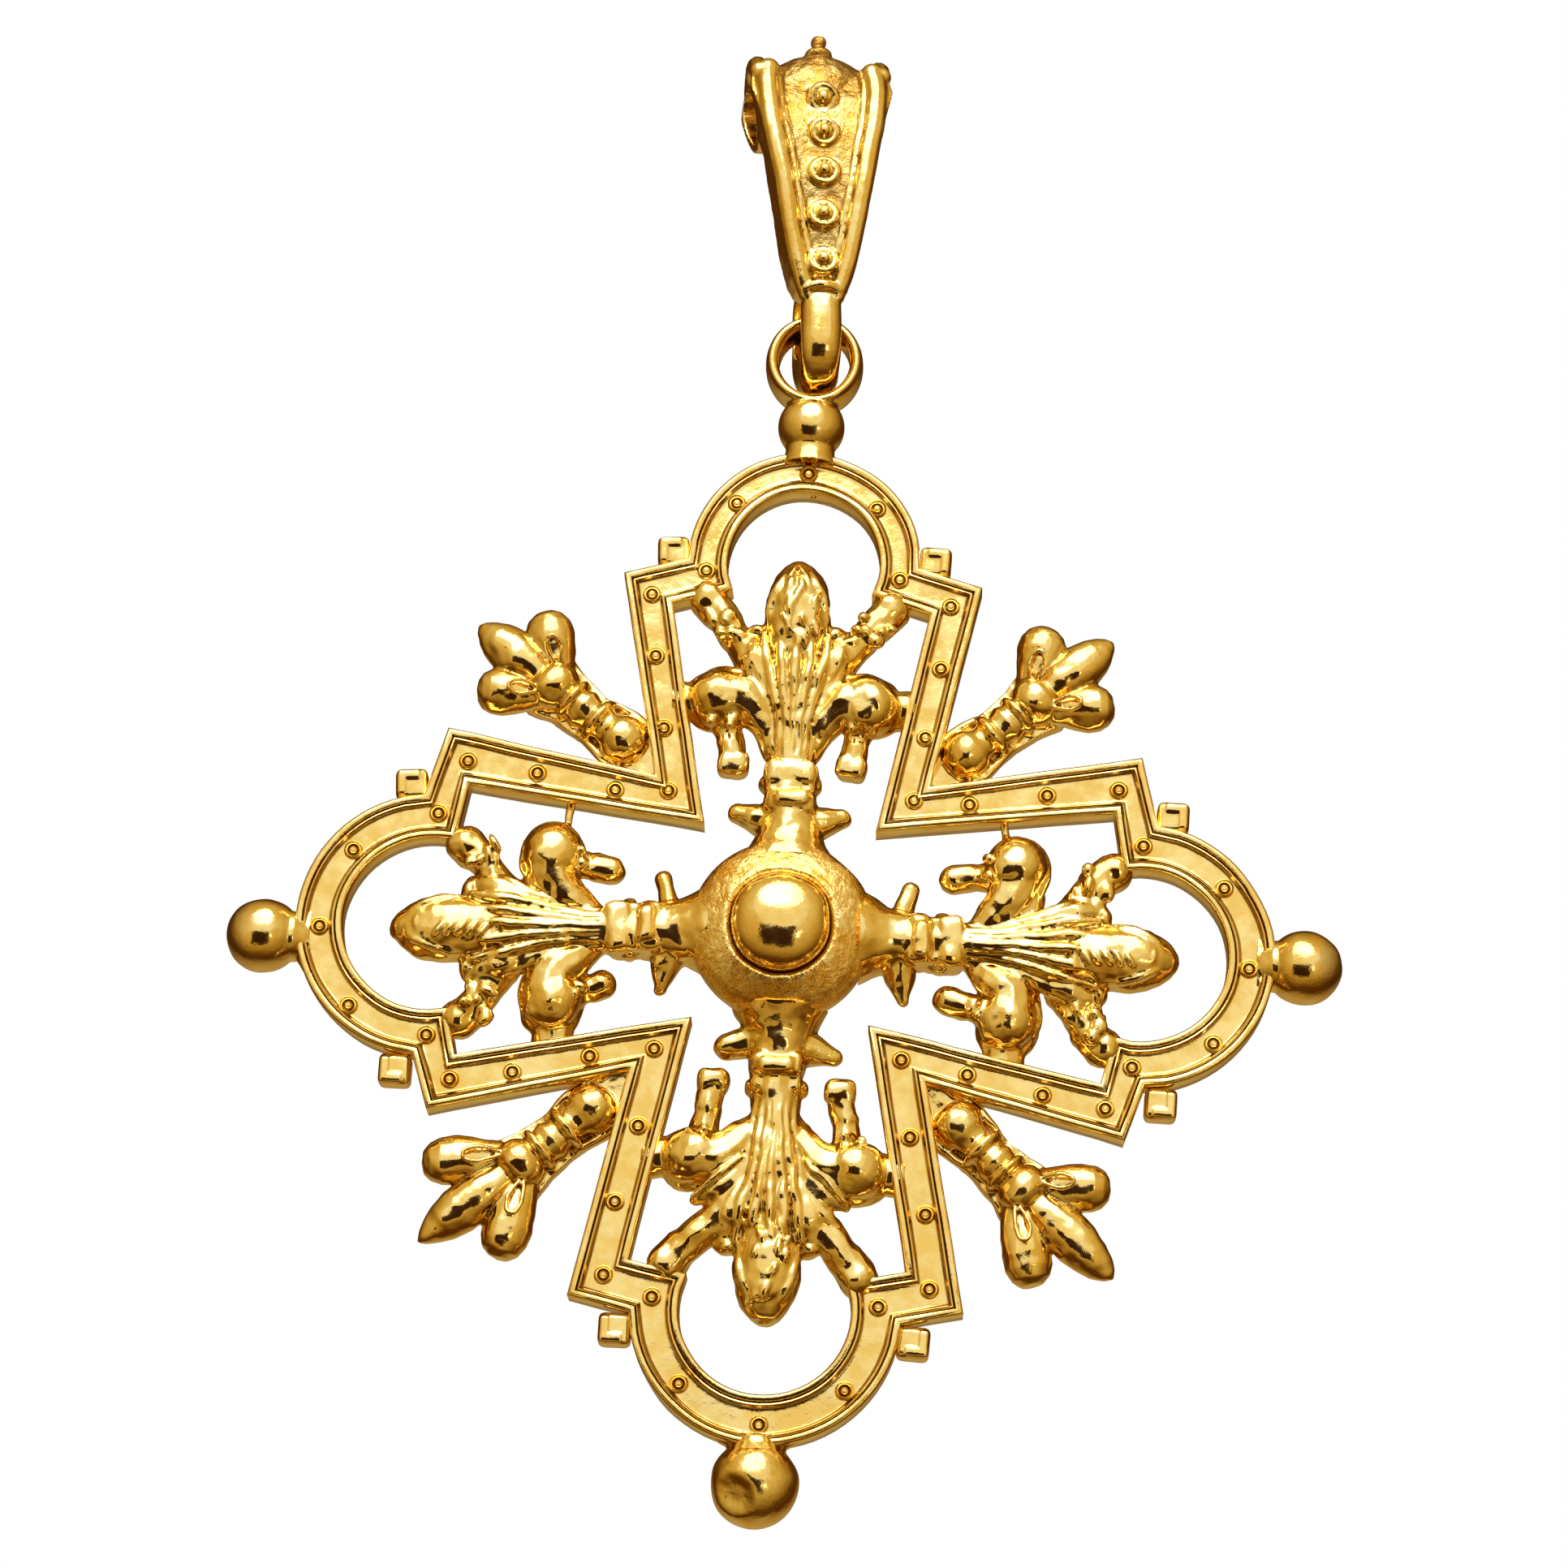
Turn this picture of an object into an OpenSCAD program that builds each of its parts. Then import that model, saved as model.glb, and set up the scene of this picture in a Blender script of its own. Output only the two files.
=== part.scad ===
// Openwork Maltese cross pendant on a tapered strap bail, cast in brass and gilded.
// Millimetres. It hangs with the front facing -Y, +Z up, and the origin at the inside top of the
// bail's channel, where the chain bears.
// Inside the modules for the cross, x is across, y is up from the middle of the boss and z is
// toward the front, with z = 0 on the front face of the frame.

/* [Frame] */
// Front to back thickness of the band
frame_thickness = 2.6; // [1.8:0.1:4]
// Width of the raised rim along each edge of the band
rim_width = 0.7; // [0.4:0.05:1]
// Depth of the floor below the rims
floor_depth = 0.35; // [0.1:0.05:0.8]
// Foot radius of the small studs on the floor
stud_radius = 0.74; // [0.4:0.02:0.9]
// Side of the square lugs in the notches of the arms
lug_side = 2.2; // [1:0.1:3]

/* [Boss] */
// Radius of the rounded base
boss_radius = 6.25; // [4:0.05:7]
// Radius of the polished button on the base
button_radius = 3.35; // [2:0.05:4]
// Height of the button's crown above the frame
button_height = 5.3; // [3:0.1:7]

/* [Fleurs] */
// Distance from the middle of the boss to the tip of a bud
fleur_reach = 26.6; // [24:0.1:28]
// Greatest radius of a bud
bud_radius = 2.3; // [1.5:0.05:3]
// Radius of the curled side leaves
volute_radius = 2.1; // [1.4:0.05:2.6]

/* [Finials and balls] */
// Radius of the bead in each corner between two arms
corner_bead_radius = 1.5; // [1:0.05:2]
// Radius of the ball on the end of the side and lower arms
ball_radius = 2.55; // [1.5:0.05:3]
// Radius of the ball below the hanging ring
neck_ball_radius = 2.33; // [1.5:0.01:3]

/* [Hanging ring] */
// Outer radius of the ring on top of the cross
ring_radius = 3.42; // [3:0.02:4.5]
// Radius of the hole in the ring
ring_hole_radius = 2.45; // [2:0.05:3.5]
// Front to back length of the ring
ring_length = 3.6; // [2:0.1:4.5]

/* [Bail] */
// Half the width of the bail across its shoulders
shoulder_half_width = 5.05; // [4:0.05:7]
// Radius of the channel for the chain
channel_radius = 2.6; // [2:0.05:3.5]
// Thickness of the metal around the channel
strap_thickness = 1.15; // [0.8:0.05:2]
// Width of the loop that holds the ring
loop_width = 2.85; // [2:0.05:3.6]

/* [Hidden] */
$fn = 64;
// Gap left between castings that touch, so that none overlaps another
seam = 0.04;
clip = 40;
mid_depth = -0.9;
channel_rise = 60.2;
hang_rise = channel_rise + channel_radius;
// Height of the ring's hole, and of the ring's top wall in the loop, above the middle of the boss
ring_rise = 41.35;
swing_rise = ring_rise + (ring_radius + ring_hole_radius) / 2;
back = -frame_thickness;
stud_sides = 16;
stud_rise = 0.3;
inner_loop_radius = 2.3;
outer_loop_radius = 3.6;

// Corners of one side of an arm. Columns: window out, window across, arch foot out,
// arch foot across, shoulder out, shoulder across, notch out, notch across
top_side = [23.3, 8.9, 24.5, 4.8, 25.35, 12.4, 26.6, 8.0];
upper_side = [22.1, 9.65, 22.8, 5.65, 23.8, 13.6, 25.1, 8.8];
lower_side = [21.75, 9.25, 22.5, 5.95, 23.45, 13.1, 24.7, 9.3];
bottom_side = [22.7, 9.27, 23.5, 5.35, 25.3, 13.2, 26.2, 9.05];
// Arches. Columns: centre out, centre across, outer radius, inner radius
top_arch = [26.6, 0, 8.05, 5.25];
side_arch = [24.1, -0.25, 9.15, 6];
bottom_arch = [25.6, 0, 9.1, 5.75];
// Chevrons between the arms. Columns: inner corner across, up, outer corner across, up
upper_chevron = [5.87, 7.6, 9.45, 10.95];
lower_chevron = [5.98, -5.95, 10.05, -9.8];

// Studs on the right half of the band, by columns: across, up
middle_studs = [[0, 33.2], [0, -33.3]];
paired_studs = [
    [4.9, 30.9], [6.75, 25.75], [10.35, 23.95], [9.8, 19.5], [8.95, 14.4], [8.4, 9.93],
    [12.15, 9.85], [17.5, 10.67], [22.35, 11.4], [24.05, 7.5], [29.65, 4.75], [31.57, -0.75],
    [29.2, -6.1], [23.8, -8], [22.07, -10.95], [17.87, -10.2], [12.74, -9], [8.36, -8.2],
    [9.17, -13.5], [10.35, -18.75], [10.8, -23.7], [7.5, -25.1], [5.5, -30.85]
];
// Lugs on the right half, by columns: across, up
lugs = [[9.1, 27.25], [26.1, 9.65], [25.85, -10.35], [9.95, -27.3]];

function upright(side, arm) = [
    [side[3], arm * side[2]], [side[1], arm * side[0]], [side[5], arm * side[4]], [side[7], arm * side[6]]
];
function level(side, way) = [
    [side[2], way * side[3]], [side[0], way * side[1]], [side[4], way * side[5]], [side[6], way * side[7]]
];
function flip(points) = [for (i = [len(points) - 1:-1:0]) [-points[i][0], points[i][1]]];

top = upright(top_side, 1);
upper = level(upper_side, 1);
lower = level(lower_side, -1);
bottom = upright(bottom_side, -1);
outer_half = [
    top[3], top[2], [upper_chevron[2], upper_chevron[3]], upper[2], upper[3], lower[3], lower[2],
    [lower_chevron[2], lower_chevron[3]], bottom[2], bottom[3]
];
inner_half = [
    top[0], top[1], [upper_chevron[0], upper_chevron[1]], upper[1], upper[0], lower[0], lower[1],
    [lower_chevron[0], lower_chevron[1]], bottom[1], bottom[0]
];
outer_corners = concat(outer_half, flip(outer_half));
inner_corners = concat(inner_half, flip(inner_half));

function unit(v) = v / norm(v);
function normal(a, b) = [-unit(b - a)[1], unit(b - a)[0]];
// Where two edges of a clockwise outline cross after each has moved outward by the amount
function shifted(a, b, c, amount) =
    let (n = normal(a, b), m = normal(b, c)) b + (n + m) * amount / (1 + n * m);
function grow(points, amount) = [
    for (i = [0:len(points) - 1])
        shifted(points[(i + len(points) - 1) % len(points)], points[i], points[(i + 1) % len(points)], amount)
];

module arches(column, amount) {
    translate([0, top_arch[0]])
        circle(r = top_arch[column] + amount);
    for (way = [-1, 1])
        translate([way * side_arch[0], side_arch[1]])
            circle(r = side_arch[column] + amount);
    translate([0, -bottom_arch[0]])
        circle(r = bottom_arch[column] + amount);
}

module outer_shape(amount = 0) {
    polygon(grow(outer_corners, amount));
    arches(2, amount);
}

module inner_shape(amount = 0) {
    polygon(grow(inner_corners, amount));
    arches(3, amount);
}

module slab(bottom_level, height) {
    translate([0, 0, bottom_level])
        linear_extrude(height = height)
            children();
}

// Turns a shape drawn across, up and front into its place below the bail
module hung() {
    translate([0, mid_depth, -hang_rise])
        rotate([90, 0, 0])
            children();
}

module frame() {
    color("goldenrod")
        hung()
            difference() {
                union() {
                    difference() {
                        slab(back, frame_thickness)
                            outer_shape();
                        slab(-floor_depth, clip)
                            difference() {
                                outer_shape(-rim_width);
                                inner_shape(rim_width);
                            }
                    }
                    for (way = [-1, 1], spot = lugs)
                        translate([way * spot[0], spot[1], back / 2 - 0.1])
                            cube([lug_side, lug_side, frame_thickness - 0.6], center = true);
                    for (spot = middle_studs)
                        stud(spot[0], spot[1]);
                    for (way = [-1, 1], spot = paired_studs)
                        stud(way * spot[0], spot[1]);
                }
                slab(-clip, 2 * clip)
                    inner_shape();
            }
}

module stud(across, up) {
    translate([across, up, -floor_depth - 0.1])
        cylinder(h = stud_rise + 0.1, r1 = stud_radius, r2 = stud_radius * 0.62, $fn = stud_sides);
}

module boss() {
    color("gold")
        hung()
            rotate_extrude()
                polygon([
                    [0, back], [boss_radius - 1.1, back], [boss_radius - 0.35, -1.3], [boss_radius, 0.2],
                    [boss_radius, 1], [boss_radius - 0.3, 1.85], [boss_radius - 1, 2.55],
                    [button_radius + 1.2, 3.05], [button_radius + 0.55, 3.4], [button_radius + 0.2, 3.35],
                    [button_radius + 0.05, 3.1], [button_radius, 3.3], [button_radius - 0.3, button_height - 1.4],
                    [button_radius - 0.85, button_height - 0.75], [button_radius - 1.75, button_height - 0.22],
                    [0, button_height]
                ]);
}

// A tapered rod with bevelled ends, between two points of the cross's plane
module rod(start, end, start_radius, end_radius, rise = mid_depth) {
    span = norm(end - start);
    translate([start[0], start[1], 0])
        rotate(atan2(end[1] - start[1], end[0] - start[0]) - 90)
            turned([
                [0, -start_radius], [start_radius * 0.6, -start_radius * 0.8], [start_radius, 0],
                [end_radius, span], [end_radius * 0.6, span + end_radius * 0.8], [0, span + end_radius]
            ], rise, 16);
}

// Turns a profile of radius and distance about an axis that runs out along an arm
module turned(profile, rise, sides) {
    translate([0, 0, rise])
        rotate([-90, 0, 0])
            rotate_extrude($fn = sides)
                polygon(profile);
}

stem_profile = [
    [0, 5], [2.1, 5], [1.95, 7.4], [1.7, 9], [1.75, 9.4], [2.03, 10.6], [1.75, 10.9], [1.95, 11.6],
    [1.8, 12.6], [1.5, 12.8], [1.55, 15], [1.75, 18], [2.1, 20.5], [bud_radius, 22.5], [2.15, 24.2],
    [1.6, 25.6], [0.7, 26.4], [0, fleur_reach]
];
ear = [[1.5, 7], [2.3, 7.3], [4.1, 8.1], [4.3, 8.6], [3.7, 8.95], [2.5, 8.75], [1.5, 9.4]];
sepal = [[1, 16.5], [2.4, 18.6], [3.4, 20.2], [3.35, 21.6], [2.9, 22.4], [1.6, 22.4]];

// One side of a fleur. Columns: volute out, volute across, bar tip out, bar tip across, knot out,
// knot across, ear out, radius of the tie from the volute to the band
module side_leaf(row) {
    volute = [row[1], row[0]];
    tip = [row[3], row[2]];
    knot = [row[5], row[4]];
    translate([0, row[6] - 8.4])
        slab(back, 2.9)
            polygon(ear);
    slab(back, 3)
        polygon(sepal);
    rod([2.9, 20.3], knot, 0.95, 1.15);
    rod([knot[0] - 0.1, knot[1] + 0.2], [knot[0] + 0.9, knot[1] + 0.95], 1.02, 0.8, -1);
    // Side leaf, volute, its tie to the band and the bar below it
    rod([1.5, 15.2], [3.3, 17.3], 1.05, 1.3, -0.7);
    rod([3, 17.9], volute, 1.2, 1.6, -0.8);
    translate([volute[0], volute[1], -0.45])
        sphere(r = volute_radius, $fn = 24);
    rod([volute[0] + 0.8, volute[1]], [volute[0] + 4, volute[1] + 0.2], row[7], row[7] * 0.9);
    rod([volute[0] - 0.6, volute[1] - 1.4], tip, 0.95, 1.05);
}

// A fleur turned and lifted to its arm, from the rows of its left and right sides
module fleur(turn, lift, left, right) {
    color("gold")
        hung()
            difference() {
                translate([0, lift, 0])
                    rotate(turn) {
                        turned(stem_profile, -0.5, 28);
                        // Ribs of the stem
                        for (rib = [-2:2])
                            rod([rib * 0.62, 13], [rib * 1.25, 20], 0.4, 0.6, 0.55 - abs(rib) * 0.35);
                        side_leaf(right);
                        mirror([1, 0, 0])
                            side_leaf(left);
                    }
                // The room of the band, the boss and all behind the flat back
                slab(-clip, 2 * clip)
                    difference() {
                        square(2 * clip, center = true);
                        inner_shape(-seam);
                    }
                slab(-clip, 2 * clip)
                    circle(r = boss_radius + seam);
                slab(-clip, clip + back)
                    square(2 * clip, center = true);
            }
}

top_leaf = [16.6, 5.15, 11.9, 4.05, 22.3, 5.5, 8.6, 1.15];
bottom_leaf = [15.6, 5.55, 10.6, 4.1, 21.7, 5.75, 7.7, 1.15];
upper_leaf = [15.7, 5.45, 11.5, 4.3, 20.6, 5.2, 8.1, 0.3];
lower_leaf = [15.6, 5.1, 11.8, 3.7, 20.8, 5.4, 7.9, 1.1];

module fleur_top() {
    fleur(0.6, 0, top_leaf, top_leaf);
}

module fleur_right() {
    fleur(-92, 0.28, upper_leaf, lower_leaf);
}

module fleur_bottom() {
    fleur(180, 0, bottom_leaf, bottom_leaf);
}

module fleur_left() {
    fleur(92, 0.28, lower_leaf, upper_leaf);
}

// Points of a bulge on a turned profile, flattened along the axis
function bulge(centre, radius, flatness = 1) = [
    for (angle = [25:26:155]) [radius * sin(angle), centre - flatness * radius * cos(angle)]
];

// A petal of a finial from the far bead out to its tip
module petal(start, tip, radius) {
    span = norm(tip - start);
    translate([start[0], start[1], 0])
        rotate(atan2(tip[1] - start[1], tip[0] - start[0]) - 90)
            turned([
                [0, -0.4], [radius * 0.5, 0], [radius * 0.85, span * 0.35], [radius, span * 0.6],
                [radius * 0.88, span * 0.8], [radius * 0.5, span * 0.94], [0, span]
            ], mid_depth - 0.1, 24);
}

// Columns of a row: bead across, bead up, bead spacing, middle petal reach, side petal reach, spread
module finial(turn, row) {
    far = row[2];
    core = concat([[0, -1.6]], bulge(0, corner_bead_radius), [
        [1.15, 1.75], [1.6, 1.95], [1.6, 2.2], [1.35, 2.5], [1.5, (far + 0.5) / 2], [1.35, far - 2],
        [1.6, far - 1.7], [1.6, far - 1.45], [1.2, far - 1.3]
    ], bulge(far, 1.8, 0.68), [[0, far + 1.4]]);
    web = [[-3.3, 2.15], [0.2, 2.6], [1.7, 1.8], [3, 1.75], [far - 1.3, 1.95], [far + 0.4, 2.5], [far + 1.6, 2]];
    color("gold")
        hung()
            difference() {
                translate([row[0], row[1], 0])
                    rotate(turn) {
                        rotate(-90)
                            turned(core, mid_depth, 24);
                        slab(back, 1.3)
                            polygon(concat(web, [for (i = [len(web) - 1:-1:0]) [web[i][0], -web[i][1]]]));
                        petal([far, 0], [row[3], 0], 1.4);
                        for (way = [-1, 1])
                            petal([far + 0.1, way * 0.7], [row[4], way * row[5]], 1.45);
                    }
                slab(-clip, clip + back)
                    square(2 * clip, center = true);
                slab(-clip, 2 * clip)
                    outer_shape(seam);
            }
}

upper_finial = [11.85, 13.55, 5.6, 12.2, 10.1, 3.7];
lower_finial = [12.4, -12.5, 6, 14.3, 10.6, 4.2];

module finial_upper_right() {
    finial(41, upper_finial);
}

module finial_upper_left() {
    mirror([1, 0, 0])
        finial(35.5, upper_finial);
}

module finial_lower_right() {
    finial(-46.2, lower_finial);
}

module finial_lower_left() {
    mirror([1, 0, 0])
        finial(-42.6, lower_finial);
}

// A ball on the end of an arm, with its flared neck, along a direction out of the cross
module end_ball(turn, reach, droop, radius, flare) {
    color("gold")
        hung()
            difference() {
                rotate(turn)
                    translate([reach, droop, -1.3]) {
                        sphere(r = radius, $fn = 32);
                        translate([-3.6, 0, 0.1])
                            rotate([0, 90, 0])
                                cylinder(h = 2.2, r1 = flare, r2 = 1.25, $fn = 32);
                    }
                slab(-clip, 2 * clip)
                    outer_shape(seam);
            }
}

module ball_right() {
    end_ball(0, 35.3, -0.35, ball_radius, 2.6);
}

module ball_left() {
    end_ball(180, 35.5, 1.4, ball_radius, 2.6);
}

module ball_bottom() {
    end_ball(-90, 37.1, -0.1, ball_radius + 0.4, 3.2);
}

module hanger() {
    neck_rise = 36.8;
    color("gold")
        hung()
            difference() {
                translate([0, 0, mid_depth]) {
                    translate([0, neck_rise, 0])
                        sphere(r = neck_ball_radius, $fn = 40);
                    translate([0, 33.5, 0])
                        rotate([-90, 0, 0])
                            cylinder(h = 2.2, r1 = 1.7, r2 = 1.85, $fn = 40);
                    translate([0, ring_rise, -ring_length / 2])
                        ring_blank();
                }
                translate([0, ring_rise, -clip])
                    cylinder(h = 2 * clip, r = ring_hole_radius, $fn = 48);
                slab(-clip, 2 * clip)
                    outer_shape(seam);
            }
}

// The ring before it is bored, rounded at both ends
module ring_blank() {
    rotate_extrude($fn = 48)
        polygon([
            [0, 0], [ring_radius - 0.5, 0], [ring_radius - 0.15, 0.2], [ring_radius, 0.7],
            [ring_radius, ring_length - 0.7], [ring_radius - 0.15, ring_length - 0.2],
            [ring_radius - 0.5, ring_length], [0, ring_length]
        ]);
}

// Outline of the bail from the front, by rows of half width and height
bail_outline = [
    [1.5, 44.9], [1.95, 45.5], [2.15, 46.3], [2.7, 49.1], [3.45, 53.4], [3.95, 56.4], [4.5, 58.8],
    [shoulder_half_width, 61], [shoulder_half_width, 62.9], [shoulder_half_width - 0.5, 63.7],
    [shoulder_half_width - 1.3, 64.4]
];
// Front face of the rails, by rows of depth and height
bail_front = [[2.2, 44.9], [2.75, 46], [2.85, 47], [3.4, 50.5], [3.75, 54], [3.65, 57.5], [3.15, 60.3], [2.2, 62.4]];
bail_back = [[0, 60], [0.4, 56], [0, 52], [-0.6, 48], [-1, 44.9]];
panel_depth = 0.45;
rail_width = 1.35;
panel_studs = [47.95, 51.25, 54.35, 57.4, 60.25];

module bail_side(depth) {
    polygon(concat([for (row = bail_front) [row[0] - depth, row[1]]], bail_back));
    translate([mid_depth, channel_rise])
        circle(r = channel_radius + strap_thickness - depth);
}

module bail_face(inset) {
    half = [for (row = bail_outline) [row[0] - inset, row[1]]];
    polygon(concat(half, flip(half)));
}

// Draws a shape of depth and height as a bar across the bail
module crosswise(width) {
    translate([width / 2, 0, 0])
        rotate([0, -90, 0])
            linear_extrude(height = width)
                children();
}

module bail() {
    color("goldenrod")
        hung()
            difference() {
                union() {
                    bail_body();
                    loop();
                    for (rise = panel_studs)
                        panel_stud(rise);
                    top_stud();
                }
                crosswise(clip) {
                    translate([mid_depth, channel_rise])
                        circle(r = channel_radius, $fn = 48);
                    eye(inner_loop_radius, swing_rise, swing_rise + 0.3);
                }
            }
}

// The strap and its tapered front, with the panel sunk between the two rails
module bail_body() {
    intersection() {
        crosswise(clip)
            bail_side(panel_depth);
        slab(-clip, 2 * clip)
            bail_face(0);
    }
    intersection() {
        crosswise(clip)
            bail_side(0);
        slab(-clip, 2 * clip)
            difference() {
                bail_face(0);
                translate([0, 1.6])
                    bail_face(rail_width);
            }
    }
    // Lip across the foot of the panel
    translate([0, 46, 2.55])
        rotate([0, 90, 0])
            cylinder(h = 3.7, r = 0.5, center = true, $fn = 24);
}

module eye(radius, low, high) {
    translate([mid_depth, low])
        circle(r = radius, $fn = 48);
    translate([mid_depth, high])
        circle(r = radius, $fn = 48);
    translate([mid_depth - radius, low])
        square([2 * radius, high - low]);
}

// The loop that passes through the hanging ring, with the corners of its foot taken off
module loop() {
    half = loop_width / 2;
    foot = 39.2;
    intersection() {
        crosswise(loop_width)
            eye(outer_loop_radius, foot + outer_loop_radius, swing_rise + 0.4);
        slab(-clip, 2 * clip)
            polygon([
                [-half, 50], [-half, foot + 0.75], [-half + 0.3, foot + 0.35], [-half + 0.8, foot + 0.05],
                [half - 0.8, foot + 0.05], [half - 0.3, foot + 0.35], [half, foot + 0.75], [half, 50]
            ]);
    }
}

module panel_stud(rise) {
    translate([0, rise, lookup(rise, [for (row = bail_front) [row[1], row[0]]]) - panel_depth - 0.3]) {
        cylinder(h = 0.75, r1 = 1.1, r2 = 0.95, $fn = 20);
        translate([0, 0, 0.75])
            sphere(r = 0.55, $fn = 16);
    }
}

module top_stud() {
    translate([0, 63.5, 0.1])
        rotate([-90, 0, 0])
            rotate_extrude($fn = 24)
                polygon([
                    [0, -0.6], [1.1, -0.6], [1.1, 0.4], [0.75, 0.65], [0.95, 0.95], [0.75, 1.3],
                    [0.4, 1.45], [0.48, 1.85], [0.3, 2.25], [0, 2.35]
                ]);
}

frame();
boss();
fleur_top();
fleur_right();
fleur_bottom();
fleur_left();
finial_upper_right();
finial_lower_right();
finial_lower_left();
finial_upper_left();
ball_right();
ball_bottom();
ball_left();
hanger();
bail();
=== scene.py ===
"""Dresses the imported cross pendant: cast and gilded brass, in a pale studio."""

import math
import random

import bmesh
import bpy
from bpy.props import FloatProperty, FloatVectorProperty, IntProperty, PointerProperty
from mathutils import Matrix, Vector


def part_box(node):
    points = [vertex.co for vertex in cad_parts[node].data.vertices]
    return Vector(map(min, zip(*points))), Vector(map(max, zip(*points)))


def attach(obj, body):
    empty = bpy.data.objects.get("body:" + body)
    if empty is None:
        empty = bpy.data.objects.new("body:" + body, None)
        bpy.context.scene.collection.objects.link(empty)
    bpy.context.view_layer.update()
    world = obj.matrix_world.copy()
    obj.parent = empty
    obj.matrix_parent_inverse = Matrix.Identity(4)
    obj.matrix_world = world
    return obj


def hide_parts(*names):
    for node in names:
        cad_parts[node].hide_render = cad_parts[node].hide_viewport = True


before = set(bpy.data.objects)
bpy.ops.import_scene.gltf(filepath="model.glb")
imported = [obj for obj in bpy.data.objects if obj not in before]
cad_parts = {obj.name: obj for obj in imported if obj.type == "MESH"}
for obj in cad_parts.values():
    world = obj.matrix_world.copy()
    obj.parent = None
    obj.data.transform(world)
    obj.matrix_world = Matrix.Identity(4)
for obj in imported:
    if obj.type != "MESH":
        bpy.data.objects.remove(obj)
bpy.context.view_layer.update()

bl_info = {
    "name": "Gilt Cross Pendant",
    "version": (1, 0, 0),
    "blender": (4, 5, 0),
    "location": "View3D > Sidebar > Pendant",
    "description": "Models the castings, the gilding and the studio of a Maltese cross pendant",
    "category": "Object",
}

MM = 0.001
# Height of the origin, where the chain bears, above the middle of the boss, in mm
HANG = 62.8
# Depth of the loop's plane behind the front face of the band, in mm
MIDDLE = 0.9
# Corners closer than this are one, in metres
MERGE = 0.001 * MM

# Corners of one side of an arm, in mm: window out, across, arch foot out, across,
# shoulder out, across, notch out, across
TOP_SIDE = (23.3, 8.9, 24.5, 4.8, 25.35, 12.4, 26.6, 8.0)
UPPER_SIDE = (22.1, 9.65, 22.8, 5.65, 23.8, 13.6, 25.1, 8.8)
LOWER_SIDE = (21.75, 9.25, 22.5, 5.95, 23.45, 13.1, 24.7, 9.3)
BOTTOM_SIDE = (22.7, 9.27, 23.5, 5.35, 25.3, 13.2, 26.2, 9.05)
# Arches: centre across, up, outer radius, inner radius
ARCHES = ((0, 26.6, 8.05, 5.25), (24.1, -0.25, 9.15, 6), (0, -25.6, 9.1, 5.75), (-24.1, -0.25, 9.15, 6))
# Chevrons: inner corner across, up, outer corner across, up
UPPER_CHEVRON = (5.87, 7.6, 9.45, 10.95)
LOWER_CHEVRON = (5.98, -5.95, 10.05, -9.8)
STUDS = (
    (4.9, 30.9), (6.75, 25.75), (10.35, 23.95), (9.8, 19.5), (8.95, 14.4), (8.4, 9.93), (12.15, 9.85),
    (17.5, 10.67), (22.35, 11.4), (24.05, 7.5), (29.65, 4.75), (31.57, -0.75), (29.2, -6.1), (23.8, -8),
    (22.07, -10.95), (17.87, -10.2), (12.74, -9), (8.36, -8.2), (9.17, -13.5), (10.35, -18.75),
    (10.8, -23.7), (7.5, -25.1), (5.5, -30.85),
)
MIDDLE_STUDS = ((0, 33.2), (0, -33.3))
LUGS = ((9.1, 27.25), (26.1, 9.65), (25.85, -10.35), (9.95, -27.3))


# Modelling, as by hand


def at(across, up, front):
    """A place given across, up from the middle of the boss and toward the front, in mm."""
    return Vector((across, -front - MIDDLE, up - HANG)) * MM


def edit():
    bpy.ops.object.mode_set(mode="EDIT")


def leave_edit():
    bpy.ops.object.mode_set(mode="OBJECT")


def pick_all():
    bpy.ops.mesh.select_all(action="SELECT")


def clear():
    if bpy.context.object and bpy.context.object.mode != "OBJECT":
        leave_edit()
    bpy.ops.object.select_all(action="DESELECT")


def pick(piece):
    clear()
    piece.select_set(True)
    bpy.context.view_layer.objects.active = piece
    return piece


def settle(piece):
    """Puts a piece's place into its mesh."""
    pick(piece)
    bpy.ops.object.transform_apply(location=True, rotation=True, scale=True)
    return piece


def gather(parts, name):
    clear()
    for part in parts:
        part.select_set(True)
    bpy.context.view_layer.objects.active = parts[0]
    if len(parts) > 1:
        bpy.ops.object.join()
    piece = bpy.context.object
    piece.name = name
    piece.data.name = name
    return settle(piece)


def place(piece, turn, across, up, front, flat=1.0):
    """Turns a piece drawn upright at the world's origin in the cross's plane, in degrees to the left."""
    settle(piece)
    piece.scale = (1, flat, 1)
    piece.rotation_euler = (0, -math.radians(turn), 0)
    piece.location = at(across, up, front)
    return settle(piece)


def face_front(piece, spot=(0, 0, 0), slope=0.0):
    """Tips a piece turned about the upright axis until its top faces the front."""
    piece.rotation_euler = (math.radians(90) - slope, 0, 0)
    piece.location = spot
    return settle(piece)


def swing(piece, pivot, spot, turn, yaw=0.0):
    """Turns a piece about a pivot, in degrees to the left and to its left side, and moves it to a spot."""
    piece.location = -pivot
    settle(piece)
    piece.rotation_euler = (0, -math.radians(turn), math.radians(yaw))
    piece.location = spot
    return settle(piece)


def blob(centre, radii, turn=0.0, fine=20):
    clear()
    bpy.ops.mesh.primitive_uv_sphere_add(
        segments=fine, ring_count=fine // 2 + 2, radius=MM, location=at(*centre),
        rotation=(0, -math.radians(turn), 0), scale=(radii[0], radii[2], radii[1]),
    )
    return settle(bpy.context.object)


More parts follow.
